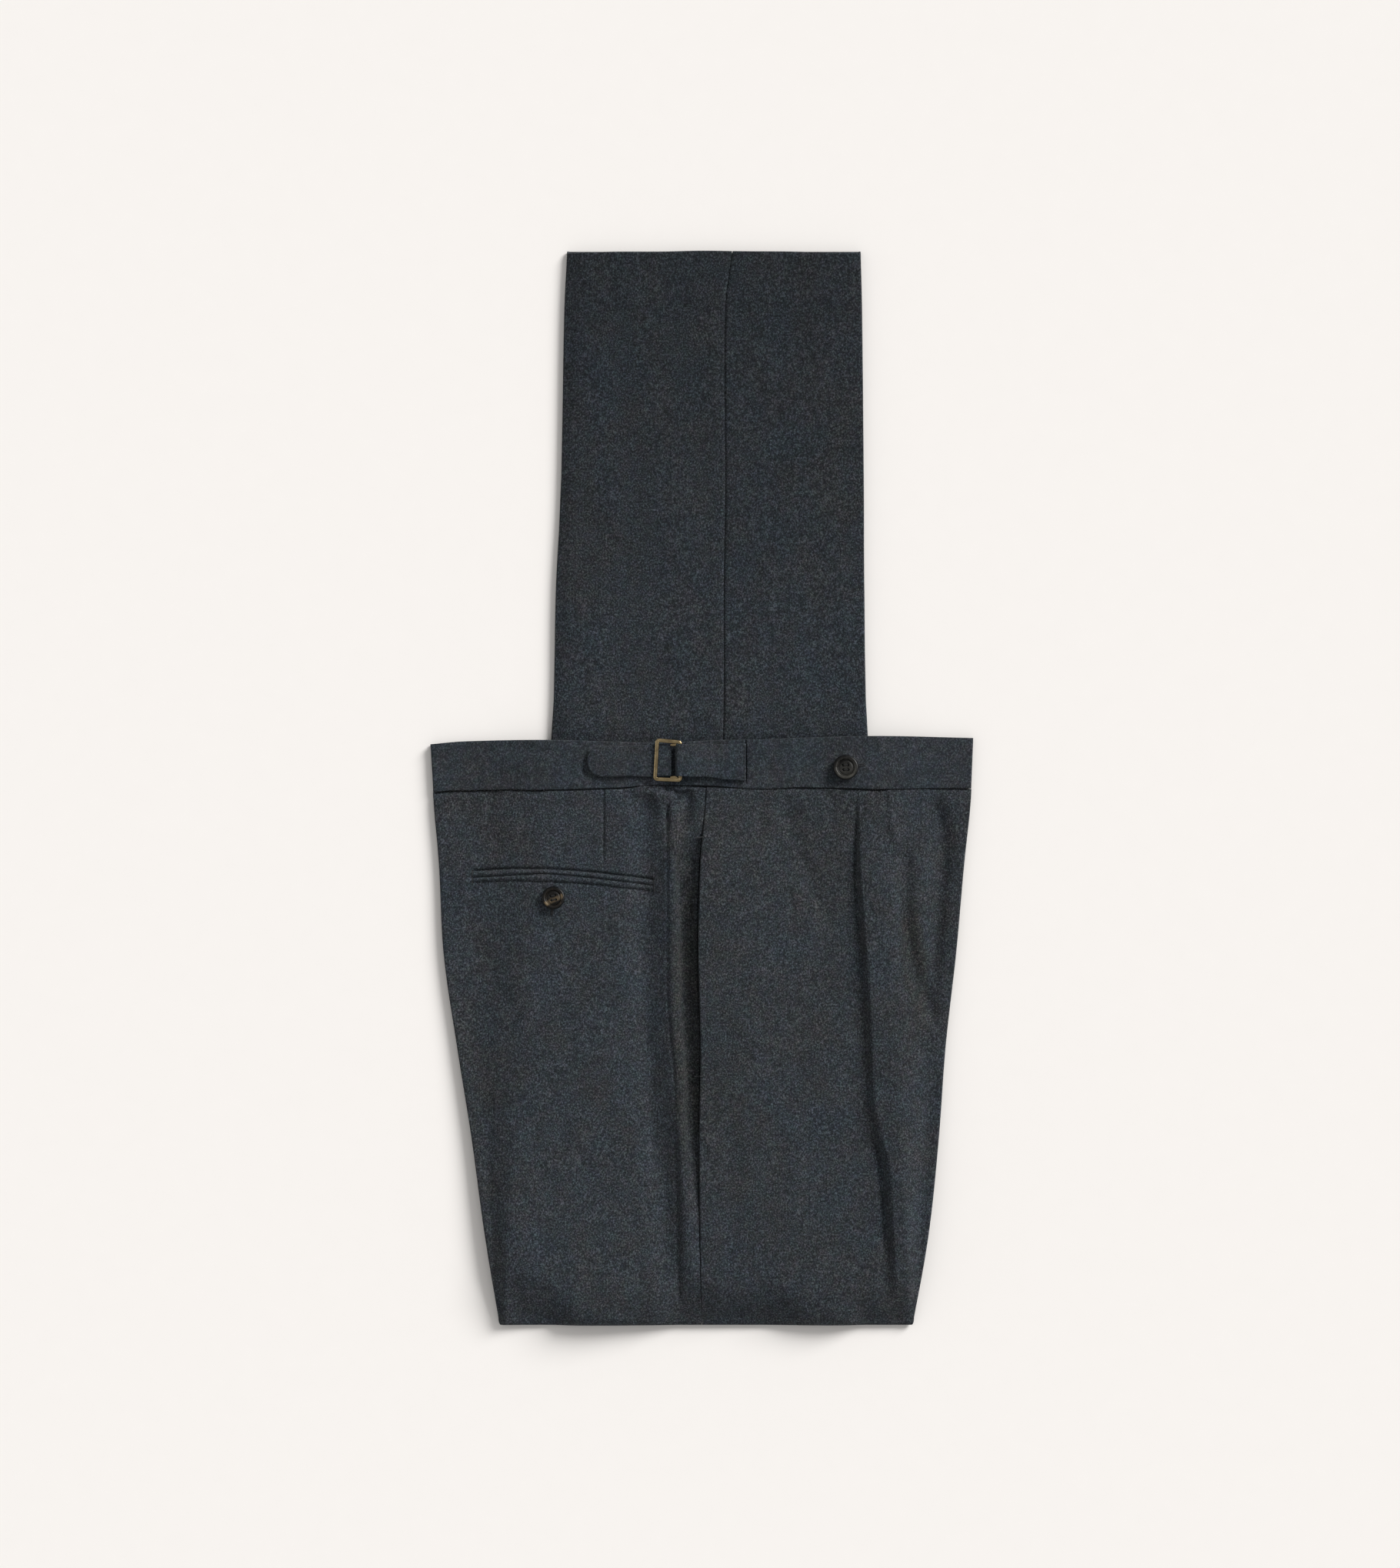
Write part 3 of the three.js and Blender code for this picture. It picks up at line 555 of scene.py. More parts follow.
pocketGrooves = [
    weltGroove("top", -2.1, 1.0),
    weltGroove("slit", -1.1, 1.1),
    weltGroove("foot", -0.8, 1.1),
]

# the strip behind the side pocket's mouth: sunk from a sharp edge on its left to the seam
pocketSink = {
    "y": [-28, -42, -50, -103, -156, -209, -245, -275, -310],
    "left": [-9, -14, -19, -17, -15.6, -12.6, -12.2, -9.5, -4],
    "deep": [0.0, 2.2, 3.6, 4.0, 4.0, 3.8, 3.0, 1.8, 0.0],
}


def pocketFall(x, y):
    left = along(pocketSink, "left", y)
    return along(pocketSink, "deep", y) * ramp(left - 0.8, left + 3.2, x)


# how much the top cloth comes down before it turns round the knee fold, and over what length
foldDrop = {
    "x": [-145, -134, -124, -110, -101, -92, -80, -70, -58, -46, -34, -26,
          -14, 6, 30, 50, 66, 80, 94, 104, 118, 134, 152],
    "drop": [8.4, 10.5, 12, 12.6, 8, 3.4, 2.2, 2.2, 3.0, 4.6, 6.0, 8.8,
             12, 12.6, 12.6, 11.6, 7.8, 5.0, 4.0, 5.6, 12, 12.6, 11],
    "reach": [44, 44, 34, 26, 21, 18, 19, 19, 19, 17, 16, 27,
              36, 28, 26, 26, 21, 21, 24, 27, 27, 32, 44],
    "least": 5.8,    # height left at the fold
    "curve": 1.55,   # power of the fall: above 1 it starts softly
}
seamGroove = {"deep": 0.5, "wide": 0.8}  # where the back panel dips to the side seam
waistTuck = {"above": 0.2, "deep": 1.8, "uneven": 0.8, "wide": 1.5}  # where the panels enter the waistband


def foldFall(x, y, top):  # the cloth falls ever more steeply towards the fold, sooner in some places
    reach = along(foldDrop, "reach", x, "x") + 3 * wander(x, 0 * x, 60, 5)
    near = np.clip((garment["kneeCentre"] + reach - y) / reach, 0, 1)
    drop = np.minimum(along(foldDrop, "drop", x, "x"), top - foldDrop["least"])
    return drop * near ** foldDrop["curve"]


def foldTurn(turn):
    # height and reach, each 0 to 1, along the fold's section: the upper half starts sloping
    begin = garment["kneeStart"]
    angle = np.arcsin(begin) + (np.pi / 2 - np.arcsin(begin)) * turn / (np.pi / 2)
    upper = turn < np.pi / 2
    rise = np.where(upper, np.cos(angle) / np.sqrt(1 - begin ** 2), np.cos(turn))
    reach = np.where(upper, (np.sin(angle) - begin) / (1 - begin), np.sin(turn))
    return rise, reach


def seatTop(x, y):
    seam = along(seatSections, "seam", y)
    top = heldUp(x, y) * (garment["legStack"] + garment["gap"]) + along(seatSections, "stack", y)
    fall = foldFall(x, y, top)
    backRelief = creaseRelief(x, y, backCreases + darts + pocketGrooves) - pocketFall(x, y)
    top = top + np.where(x < seam, backRelief, creaseRelief(x, y, frontCreases))
    fromBack = x - along(seatSections, "back", y)
    fromFront = along(seatSections, "front", y) - x
    inner = ramp(0, 24, fromBack) * ramp(0, 24, fromFront)
    soft = 0.45 * wander(x, 0.45 * y, 70, 1) + 0.16 * wander(x, 0.7 * y, 24, 2)
    return top + soft * inner - fall


# Each pleat is a step: the cloth falls softly into a valley, then rises over `wide` to a
# crest just past its line and dies away. Near the waistband the step is thin and sharp.
pleat = {
    "y": [4, -12, -26, -44, -70, -105, -162, -209, -240, -264, -292, -340, -376.5],
    "x": [112.2, 111.8, 111.8, 112.0, 113.1, 115.7, 119.0, 119.8, 122.4, 131.4, 134.2, 136.6, 138.5],
    "high": [0.8, 1.2, 2.2, 4.2, 6.2, 6.2, 6.0, 6.2, 5.8, 5.6, 5.6, 4.2, 2.0],
    "wide": [0.7, 0.9, 1.8, 3.4, 5.2, 6.8, 8.4, 8.8, 8.2, 7.6, 7.4, 8.0, 8.0],
    "spread": 44,
}
smallPleat = {
    "y": [4, -8, -15, -26, -60, -110, -376.5],
    "x": [133.5, 133.6, 134.0, 135.0, 142, 150, 147],
    "high": [1.2, 1.2, 0.9, 1.4, 1.1, 0.0, 0.0],
    "wide": [0.7, 0.7, 1.2, 4.0, 6.0, 7.0, 7.0],
    "spread": 16,
}
mouth = {  # the front's edge along the side seam, proud where the pocket opens
    "y": [4, -20, -34, -46, -70, -110, -170, -206, -240, -300, -376.5],
    "proud": [0.5, 0.7, 1.4, 3.2, 4.6, 4.9, 4.6, 3.8, 2.5, 1.2, 0.0],
    "spread": 62,
}


def pleatStep(x, y):
    total = np.zeros(np.broadcast(x, y).shape)
    for one in (pleat, smallPleat):
        high = along(one, "high", y)
        wide = along(one, "wide", y)
        past = x - along(one, "x", y) - 0.33 * wide
        valley = -0.6 * high * np.exp(-(np.minimum(past + wide, 0) / one["spread"]) ** 2)
        crest = 0.4 * high * np.exp(-(np.maximum(past, 0) / one["spread"]) ** 2)
        total = total + valley + (crest - valley) * ramp(-1, 0, past / wide)
    return total


# stations along a right panel: over the top, round the fold, and along the floor to the hem

def legStations(topCount=250, turnCount=15, floorCount=20):
    top = 1 - graded(topCount, [(0.0, 4, 0.012), (0.17, 2.4, 0.035), (1.0, 1.5, 0.05)])
    turn = np.linspace(0, np.pi, turnCount + 2)[1:-1]
    floorY = np.linspace(garment["kneeCentre"], garment["hemY"], floorCount)
    return top, turn, floorY


def edgesAt(y, share):  # crease and seam lines: share 0 on the top, 1 on the floor
    def mix(column):
        return (1 - share) * along(seatSections, column, y) + share * along(legSections, column, y)
    return mix("back"), mix("seam"), mix("front")


creaseTurns = np.linspace(np.pi / 2, 0, 6)


def creaseColumns(edge, side):  # x and roll angle of the columns at a folded edge
    x = edge[:, None] - side * garment["edgeWide"] * (1 - np.sin(creaseTurns))[None, :]
    roll = np.broadcast_to(creaseTurns, x.shape)
    return (x, roll) if side < 0 else (x[:, ::-1], roll[:, ::-1])


def rightPanel(name, part):
    top, turn, floorY = legStations()
    knee = garment["kneeCentre"]
    nTop, nTurn = len(top), len(turn)
    lineY = np.concatenate([knee * (1 - top), np.full(nTurn, knee), floorY])
    share = np.concatenate([np.zeros(nTop), (1 - np.cos(turn)) / 2, np.ones(len(floorY))])
    back, seam, front = edgesAt(lineY, share)
    onTop = np.arange(len(lineY)) < nTop
    fade = np.where(onTop, 1.0, 0.0)[:, None]
    if part == "back":
        edgeX, edgeRoll = creaseColumns(back, -1)
        u = graded(132, [(0.36, 2.5, 0.02), (0.61, 2.5, 0.02), (0.93, 1.2, 0.09), (1.0, 3, 0.01)])[1:]
        start = back + garment["edgeWide"]
        end = seam - 0.15
        flatX = start[:, None] + (end - start)[:, None] * u[None, :]
        for line, at in ((darts[0], 0.36), (darts[1], 0.61)):  # columns shift to run along the darts
            run = np.array(line["path"], float)[::-1]
            follow = np.interp(lineY, run[:, 1], run[:, 0]) - start - (end - start) * at
            follow = follow * ramp(-150, -60, lineY) * onTop
            flatX += follow[:, None] * np.exp(-((u[None, :] - at) / 0.07) ** 2)
        x = np.concatenate([edgeX, flatX], 1)
        roll = np.concatenate([edgeRoll, np.zeros(flatX.shape)], 1)
        side = -1
        lift = -seamGroove["deep"] * np.exp(-np.abs(x - seam[:, None]) / seamGroove["wide"])
    else:
        edgeX, edgeRoll = creaseColumns(front, 1)
        topY = np.where(onTop, lineY, knee)
        flatSeam = along(seatSections, "seam", topY)
        flatFront = along(seatSections, "front", topY)
        scale = (front - garment["edgeWide"] - seam) / (flatFront - garment["edgeWide"] - flatSeam)
        line = seam + (along(pleat, "x", topY) + 0.33 * along(pleat, "wide", topY) - flatSeam) * scale
        lipTurn = np.linspace(0, np.pi / 2, 7)
        lipX = (seam + 0.15)[:, None] + 1.1 * (1 - np.cos(lipTurn))[None, :]
        wide = (front - garment["edgeWide"] - lipX[:, -1])[:, None]
        u = graded(122, [(0.0, 3, 0.02), (0.60, 2.2, 0.05), (0.72, 0.8, 0.03)])[None, 1:]
        follow = (line - lipX[:, -1])[:, None] - 0.62 * wide  # columns shift to run along the main pleat
        flatX = lipX[:, -1:] + wide * u + follow * np.sin(np.pi * np.clip(u, 0, 1)) ** 2
        x = np.concatenate([lipX, flatX[:, :-1], edgeX], 1)
        roll = np.concatenate([np.zeros((len(lineY), x.shape[1] - edgeX.shape[1])), edgeRoll], 1)
        side = 1
        lipProud = along(mouth, "proud", topY)[:, None] * fade
        lift = lipProud * np.exp(-((x - seam[:, None]) / mouth["spread"]) ** 2)
        lift[:, :len(lipTurn)] -= np.minimum(lipProud + 0.4, 1.6) * (1 - np.sin(lipTurn))[None, :]
        onSeat = flatSeam[:, None] + (x - seam[:, None]) / scale[:, None]  # the same place on the seat
        lift += pleatStep(onSeat, topY[:, None] + 0 * x) * fade
    lift *= ramp(knee, knee + 30, lineY)[:, None]
    y = np.broadcast_to(lineY[:, None], x.shape).copy()
    seamLine = bandFoot(x[:nTop]) - waistTuck["above"]
    y[:nTop] = seamLine + (knee - seamLine) * (1 - top)[:, None]
    tuck = np.zeros(x.shape)
    tuckDeep = waistTuck["deep"] + waistTuck["uneven"] * wander(x[:nTop], 0 * x[:nTop], 44, 33)
    tuck[:nTop] = -tuckDeep * np.exp(-(seamLine - y[:nTop]) / waistTuck["wide"])
    height = seatTop(x, np.where(onTop[:, None], y, knee)) + lift + tuck

    def surface(depth):
        down = garment["edgeRound"] * (1 - np.cos(roll)) + depth * np.cos(roll)
        z = height - down
        foldedY = y.copy()
        turning = slice(nTop, nTop + nTurn)
        half = height[turning] / 2
        rise, reach = foldTurn(turn[:, None])
        foldedY[turning] = knee - (garment["kneeReach"] - down[turning]) * reach
        z[turning] = half + (half - down[turning]) * rise
        z[nTop + nTurn:] = down[nTop + nTurn:]
        return np.stack([x - side * depth * np.sin(roll), foldedY, z], -1)

    material = flannel if part == "back" else flannelFront
    return wallMesh(name, surface(0.0), surface(garment["cloth"]), material)


rightBack = rideAs(rightPanel("rightBack", "back"), "flannel", "right_back")
rightFront = rideAs(rightPanel("rightFront", "front"), "flannel", "right_front")
print("right panels made")


# the left lower leg that lies out past the waistband

lowerLeg = {
    "hemDeep": 36,       # stitched hem allowance, felt through the cloth over hemSoft
    "hemSoft": 6,
    "hemProud": 0.35,
    "hemRound": 1.2,
    "hemBow": 1.4,       # how far the hem's corners come back
    "bowReach": 90,
    "backLower": 1.2,    # how much less the back crease turns down
    "rows": 170,
}

legCreases = [  # long soft waves
    crease(-0.5, 10, 60, 60, (-60, 50), (-52, 200), (-58, 360)),
    crease(0.5, 12, 60, 60, (70, 50), (64, 210), (76, 350)),
]


def legFall(x, y):  # the leg is lower towards its back crease and under the waistband
    away = x - along(legSections, "back", y)
    return 2.5 * np.exp(-(away / 7) ** 2) + 1.3 * np.exp(-np.maximum(y - 34, 0) / 6)


def lowerTop(x, y):
    seam = along(legSections, "seam", y)
    flat = garment["legStack"] + creaseRelief(x, y, legCreases) - legFall(x, y)
    allowance = 0.2 * (np.exp(-((x - seam - 7) / 4.5) ** 2) + np.exp(-((x - seam + 7) / 4.5) ** 2))
    rim = ramp(0, 14, x - along(legSections, "back", y)) * ramp(0, 14, along(legSections, "front", y) - x)
    soft = 0.3 * wander(x, 0.5 * y, 60, 11) + 0.1 * wander(x, 0.8 * y, 20, 12)
    allowanceEnd = garment["hemY"] - lowerLeg["hemDeep"]
    hem = lowerLeg["hemProud"] * ramp(allowanceEnd - lowerLeg["hemSoft"], allowanceEnd, y)
    groove = (0.42 - 0.2 * ramp(200, garment["hemY"] - 20, y)) * np.exp(-np.abs(x - seam) / 0.55)
    return flat + (allowance + soft + hem) * rim - groove


def lowerPanel(name, part):
    hemRound = lowerLeg["hemRound"]
    hemTurn = np.linspace(0, np.pi / 2, 6)[1:]
    straight = np.linspace(-2.2, garment["hemY"] - hemRound, lowerLeg["rows"])
    rows = np.concatenate([straight, straight[-1] + hemRound * np.sin(hemTurn)])
    hemFall = np.concatenate([0 * straight, hemRound * (1 - np.cos(hemTurn))])
    back, seam, front = edgesAt(rows, 1.0)
    u = np.linspace(0, 1, 56)[None, :]
    if part == "back":
        edgeX, edgeRoll = creaseColumns(back, -1)
        start = (back + garment["edgeWide"])[:, None]
        flatX = start + (seam[:, None] - 0.15 - start) * u[:, 1:]
        x = np.concatenate([edgeX, flatX], 1)
        roll = np.concatenate([edgeRoll, np.zeros(flatX.shape)], 1)
        side = -1
        edgeRound = garment["edgeRound"] - lowerLeg["backLower"]
    else:
        edgeRound = garment["edgeRound"]
        edgeX, edgeRoll = creaseColumns(front, 1)
        end = (front - garment["edgeWide"])[:, None]
        flatX = seam[:, None] + 0.15 + (end - seam[:, None] - 0.15) * u[:, :-1]
        x = np.concatenate([flatX, edgeX], 1)
        roll = np.concatenate([np.zeros(flatX.shape), edgeRoll], 1)
        side = 1
    across = (x - (legSections["back"][0] + legSections["front"][0]) / 2) / 105
    bow = lowerLeg["hemBow"] * across ** 2 + 0.25 * wander(x, 0 * x, 60, 14)
    y = rows[:, None] - bow * ramp(garment["hemY"] - lowerLeg["bowReach"], garment["hemY"], rows)[:, None]
    height = lowerTop(x, y) - hemFall[:, None]

    def surface(depth):
        down = edgeRound * (1 - np.cos(roll)) + depth * np.cos(roll)
        return np.stack([x - side * depth * np.sin(roll), y + 0 * x, height - down], -1)

    return wallMesh(name, surface(0.0), surface(garment["cloth"]), flannelLeg)


leftBack = rideAs(lowerPanel("leftBack", "back"), "flannel", "left_back")
leftFront = rideAs(lowerPanel("leftFront", "front"), "flannel", "left_front")


# the hidden layers, seen only as folds at the edges

def layerRings(rows, bottom, top, left, right, lobes, deep):
    # rings with a flat upper and lower side and `lobes` rounded layers at each end
    t = np.linspace(0, 1, 10 * lobes + 1)
    scallop = deep * np.abs(np.cos(np.pi * lobes * t)) ** 2.2
    u = np.linspace(0, 1, 40)
    rings = []
    for y in rows:
        leftX, rightX = left(y), right(y)
        x = leftX + deep + (rightX - leftX - 2 * deep) * u
        high = top(x, y + 0 * x)
        low = bottom(x, y + 0 * x)
        sideZ = high[-1] + (low[-1] - high[-1]) * t[1:-1]
        backZ = low[0] + (high[0] - low[0]) * t[1:-1]
        ringX = np.concatenate([x, rightX - scallop[1:-1], x[::-1], leftX + scallop[1:-1]])
        ringZ = np.concatenate([high, sideZ, low[::-1], backZ])
        rings.append(np.stack([ringX, np.full(ringX.shape, y), ringZ], -1))
    return np.array(rings)


hiddenInset = garment["cloth"] + garment["gap"]


def seatFloor(x, y):  # the under side of the seat's layers: raised where the lower legs lie below
    fromEdge = np.minimum(x - along(legSections, "back", y), along(legSections, "front", y) - x)
    return ramp(-1.5, 0.5, fromEdge) * (garment["legStack"] - hiddenInset + 0.1)


def seatCeiling(x, y):  # their upper side, kept below the panels and their pleats
    edge = np.minimum(x - along(seatSections, "back", y), along(seatSections, "front", y) - x)
    valley = np.where(x > along(seatSections, "seam", y), np.minimum(pleatStep(x, y), 0), 0)
    ceiling = seatTop(x, y) + valley - hiddenInset - 0.9 - 1.6 * np.exp(-edge / 3)
    return np.maximum(ceiling, seatFloor(x, y) + 0.2)


def seatSide(column, shift):
    return lambda y: along(seatSections, column, y) + shift


def legSide(column, shift):
    return lambda y: along(legSections, column, y) + shift


def legLayer(low, high, short):  # one leg's layers between two heights, ending short of the hem
    hem = garment["hemY"] - short
    folded = hem - 1 + np.sin(np.linspace(0.3, 1.5, 5))
    rows = np.concatenate([np.linspace(garment["kneeCentre"] + 12, hem - 1, 50), folded])

    def level(side):  # the folded hem closes in a half circle
        def at(x, y):
            pinch = np.sqrt(np.clip(1 - np.clip(y - hem + 1, 0, 1) ** 2, 0.02, 1))
            left = 1 - legFall(x, y) / (garment["legStack"] - 2 * hiddenInset)
            middle = (low + high) / 2 + side * (high - low) / 2 * pinch
            return hiddenInset + (middle - hiddenInset) * left
        return at

    return layerRings(rows, level(-1), level(1), legSide("back", 0.5), legSide("front", -0.5), 1, 0.7)


def kneeLayers():  # the layers that turn round the knee fold, inside the panels
    knee = garment["kneeCentre"]
    left = seatSide("back", 0.7)(knee)
    right = seatSide("front", -0.7)(knee)
    x = np.linspace(left + 1.6, right - 1.6, 60)
    half = seatTop(x, knee + 0 * x) / 2
    rings = []
    for angle in np.linspace(0, 1.45, 9):
        rise, reach = foldTurn(angle)
        y = x * 0 + knee - (garment["kneeReach"] - hiddenInset) * reach
        high = half + (half - hiddenInset - 0.2) * rise
        low = half - (half - hiddenInset) * np.cos(angle)
        rings.append(np.concatenate([np.stack([x, y, high], -1), np.stack([x, y, low], -1)[::-1]]))
    return np.array(rings)


def hiddenLayers():
    stack = garment["legStack"]
    seatRows = np.linspace(-4, garment["kneeCentre"] + 1, 90)
    left = seatSide("back", 0.7)
    right = seatSide("front", -0.7)
    seat = layerRings(seatRows, seatFloor, seatCeiling, left, right, 3, 1.0)
    lowerPair = legLayer(hiddenInset, stack / 2 - 0.1, 2.0)
    upperPair = legLayer(stack / 2 + 0.1, stack - hiddenInset, 1.4)
    parts = [loftParts(rings) for rings in (seat, lowerPair, upperPair, kneeLayers())]
    return joined("hiddenLayers", parts, flannel)


rideAs(hiddenLayers(), "flannel", "hidden_layers")
print("legs and hidden layers made")


# waistband

band = {
    "wall": 2.6, "middle": 18, "round": 0.6, "half": 194.6,
    "frontSlant": 1.4, "backSlant": 2.2,  # how far the lower corners come in or out
}

bandCreases = [  # tucks left of the buckle and at the button, the tab's end, soft waves
    crease(-1.3, 4.2, 4, 4, (-93, 7), (-94, 15), (-90, 23)),
    crease(-2.5, 2.4, 5, 5, (-82.5, 8), (-84.6, 14), (-83.8, 19), (-81, 25)),
    crease(-1.4, 4.2, 6, 6, (84, 3), (92, 6), (99, 12)),
    crease(-1.4, 4.2, 6, 6, (108, 22), (117, 28), (127, 31)),
    crease(-0.5, 3.0, 8, 8, (-76, 4), (-52, 2.5), (-30, 5)),
    crease(0.5, 6.0, 10, 10, (-176, 12), (-140, 20), (-108, 17)),
    crease(-1.3, 0.7, 1.5, 0.5, (31.6, 3.6), (31.2, 38)),
    crease(-2.2, 2.4, 2, 2, (-20, 7), (-20, 32)),
    crease(-0.7, 3.5, 4, 4, (-46, 2), (-22, 3.5), (-6, 2)),
    crease(0.5, 4.0, 8, 8, (40, 28), (70, 24), (92, 30)),
    crease(-0.5, 4.0, 8, 8, (44, 10), (66, 14), (84, 10)),
    crease(0.5, 4.5, 8, 8, (132, 12), (160, 17), (186, 14)),
    crease(-0.5, 3.0, 6, 6, (-160, 26), (-130, 29), (-106, 25)),
]


def ribbon(pathX, pathZ, low, high, wall, corner, thin=None, soft=None):
    # a flat band carried along a path in X and Z; its section runs in Y from low to high and
    # half the wall to each side of the path, and its edges are quarter ellipses
    slopeX = np.gradient(pathX)
    slopeZ = np.gradient(pathZ)
    long = np.hypot(slopeX, slopeZ)
    turn = np.linspace(0, np.pi / 2, 6)
    flat = np.linspace(0, 1, 16)[1:-1]
    inset = (corner * (1 - np.cos(turn)))[None, :]
    low = np.asarray(low)[:, None]
    high = np.asarray(high)[:, None]
    across = np.concatenate([
        low + inset, low + corner + (high - low - 2 * corner) * flat, high - inset[:, ::-1],
    ], 1)
    bulge = np.concatenate([np.sin(turn), np.ones(len(flat)), np.sin(turn)[::-1]])[None, :]
    away = bulge * wall / 2 * (np.ones(len(pathX)) if thin is None else thin)[:, None]
    wide = pathX[:, None] + 0 * across
    lift = 0 if soft is None else soft(wide, across) * bulge ** 2

    def side(offset, lift):
        x = wide - slopeZ[:, None] / long[:, None] * offset
        z = pathZ[:, None] + slopeX[:, None] / long[:, None] * (offset + lift)
        return np.stack([x, across, z], -1)

    upper = side(away, lift)
    under = side(-away, 0)[:, 1:-1][:, ::-1]
    return loftParts(np.concatenate([upper, under], 1))


def bandBase(x):
    return heldUp(x, band["middle"] + 0 * x) * (garment["legStack"] + garment["gap"])


def waistband(name, level):
    half = band["half"]
    x = half * (2 * graded(330, [(0.0, 6, 0.004), (1.0, 6, 0.004), (0.582, 5, 0.005)]) - 1)
    thin = np.sqrt(np.clip(1 - np.clip((np.abs(x) - half + 1.4) / 1.45, 0, 1) ** 2, 0.04, 1))

    def soft(x, y):
        inside = ramp(0, 6, y - bandFoot(x)) * ramp(0, 6, along(bandLine, "high", x, "x") - y)
        uneven = 0.26 * wander(x, y, 52, 20) + 0.13 * wander(x, y, 19, 30)
        return level * (uneven * inside + creaseRelief(x, y, bandCreases))

    base = bandBase(x) + level * (band["wall"] + garment["gap"]) + band["wall"] / 2
    low = bandFoot(x)
    high = along(bandLine, "high", x, "x")
    points, faces = ribbon(x, base, low, high, band["wall"], band["round"], thin, soft)
    lean = np.clip((34 - points[:, 1]) / 34, 0, 1) * ramp(half - 30, half, np.abs(points[:, 0]))
    points[:, 0] -= np.where(points[:, 0] > 0, band["frontSlant"], -band["backSlant"]) * lean
    return makeMesh(name, points, faces, flannelBand)


bandRight = rideAs(waistband("waistbandRight", 1), "flannel", "waistband_right")
bandLeft = rideAs(waistband("waistbandLeft", 0), "flannel", "waistband_left")


def bandTop(x):
    return bandBase(x) + 2 * band["wall"] + garment["gap"]


def aboveBand(x):  # where the next piece starts, as one number
    return float(bandTop(np.array([x]))[0]) + garment["gap"]


# the side adjuster: strap, fixed tab and brass buckle

strap = {
    "tip": -81.5, "pointed": 10, "blunt": 0.12, "fold": -21.8, "low": 8.2, "high": 30.6, "wall": 1.8,
    "humpX": -67, "humpHigh": 0.8, "humpWide": 13,
}
tab = {"left": -18.9, "closed": 6, "right": 31.6, "low": 8.3, "high": 31.7, "flare": 3, "wall": 1.3}
buckle = {
    "left": -33.9, "right": -13.9, "low": 5.2, "high": 35.8, "wire": 2.8, "wall": 1.8, "corner": 2.0,
    "lean": 0.055, "narrow": 0.032, "droop": 1.3,  # how its shape departs from a true rectangle
    "lugX": -19.8, "lugHalf": 2.7, "lugWide": 1.0, "lugHigh": 0.65, "lugLift": 0.45,
}


def adjusterStrap():
    rest = aboveBand(-50.0) + strap["wall"] / 2
    x = strap["tip"] + (strap["fold"] - strap["tip"]) * graded(90, [(0.0, 8, 0.05), (1.0, 4, 0.03)])
    t = np.clip((x - strap["tip"]) / strap["pointed"], 0, 1)
    opening = strap["blunt"] + (1 - strap["blunt"]) * np.sqrt(1 - (1 - t) ** 2)
    half = (strap["high"] - strap["low"]) / 2 * opening
    middle = (strap["low"] + strap["high"]) / 2
    low = middle - half + 0.25 * np.sin(x * 0.21)
    high = middle + half + 0.25 * np.sin(x * 0.17 + 2)
    thin = np.clip(0.25 + t * 1.6, 0, 1)
    z = rest - 0.1 * (1 - t) ** 2

    def soft(x, y):
        hump = strap["humpHigh"] * np.exp(-((x - strap["humpX"]) / strap["humpWide"]) ** 2)
        return 0.2 * wander(x, y, 21, 41) + hump

    body = ribbon(x, z, low, high, strap["wall"], strap["wall"] / 2, thin, soft)
    return makeMesh("adjusterStrap", *body, flannelBand)


def adjusterTab():
    low = aboveBand(0.0) + tab["wall"] / 2
    high = low + tab["wall"] + buckle["wall"] + 3 * garment["gap"]
    doubled = low + tab["wall"] + garment["gap"]
    bend = (high - low) / 2
    centre = tab["left"] + bend + tab["wall"] / 2
    turn = -np.linspace(0.5, 1.5, 15)[1:-1] * np.pi
    under = np.linspace(tab["right"], centre, 30)
    over = np.linspace(centre, tab["right"], 46)
    x = np.concatenate([under, centre + bend * np.cos(turn), over])
    fall = ramp(buckle["right"] - 1, tab["closed"] + 6, over)
    z = np.concatenate([0 * under + low, low + bend + bend * np.sin(turn), high + (doubled - high) * fall])
    lowEdge = tab["low"] - tab["flare"] * ramp(-5, tab["right"], x) + 0.2 * np.sin(x * 0.3)
    highEdge = tab["high"] + 0.2 * np.sin(x * 0.25 + 1)

    def soft(x, y):
        return np.where(x > tab["left"] + 2, 0.14 * wander(x, y, 18, 43), 0)

    body = ribbon(x, z, lowEdge, highEdge, tab["wall"], tab["wall"] / 2, None, soft)
    return makeMesh("adjusterTab", *body, flannelBand)


def closedWire(path, wide, high, power=2.6, count=20):
    # a flattened round wire along a closed path: its section is a superellipse, set on the
    # path's own outward normal and on Z
    ahead = np.roll(path, -1, 0) - np.roll(path, 1, 0)
    ahead /= np.linalg.norm(ahead, axis=1)[:, None]
    outward = np.stack([ahead[:, 1], -ahead[:, 0], 0 * ahead[:, 0]], -1)
    angle = np.linspace(0, 2 * np.pi, count, endpoint=False)
    side = np.sign(np.cos(angle)) * np.abs(np.cos(angle)) ** (2 / power) * wide / 2
    rise = np.sign(np.sin(angle)) * np.abs(np.sin(angle)) ** (2 / power) * high / 2
    rings = path[:, None, :] + outward[:, None, :] * side[None, :, None]
    rings[..., 2] += rise[None, :]
    rows = len(path)
    index = np.arange(rows * count).reshape(rows, count)
    nextRow = np.roll(index, -1, 0)
    quads = np.stack([index, nextRow, np.roll(nextRow, -1, 1), np.roll(index, -1, 1)], -1).reshape(-1, 4)
    return rings.reshape(-1, 3), outwardFaces(rings, quads)


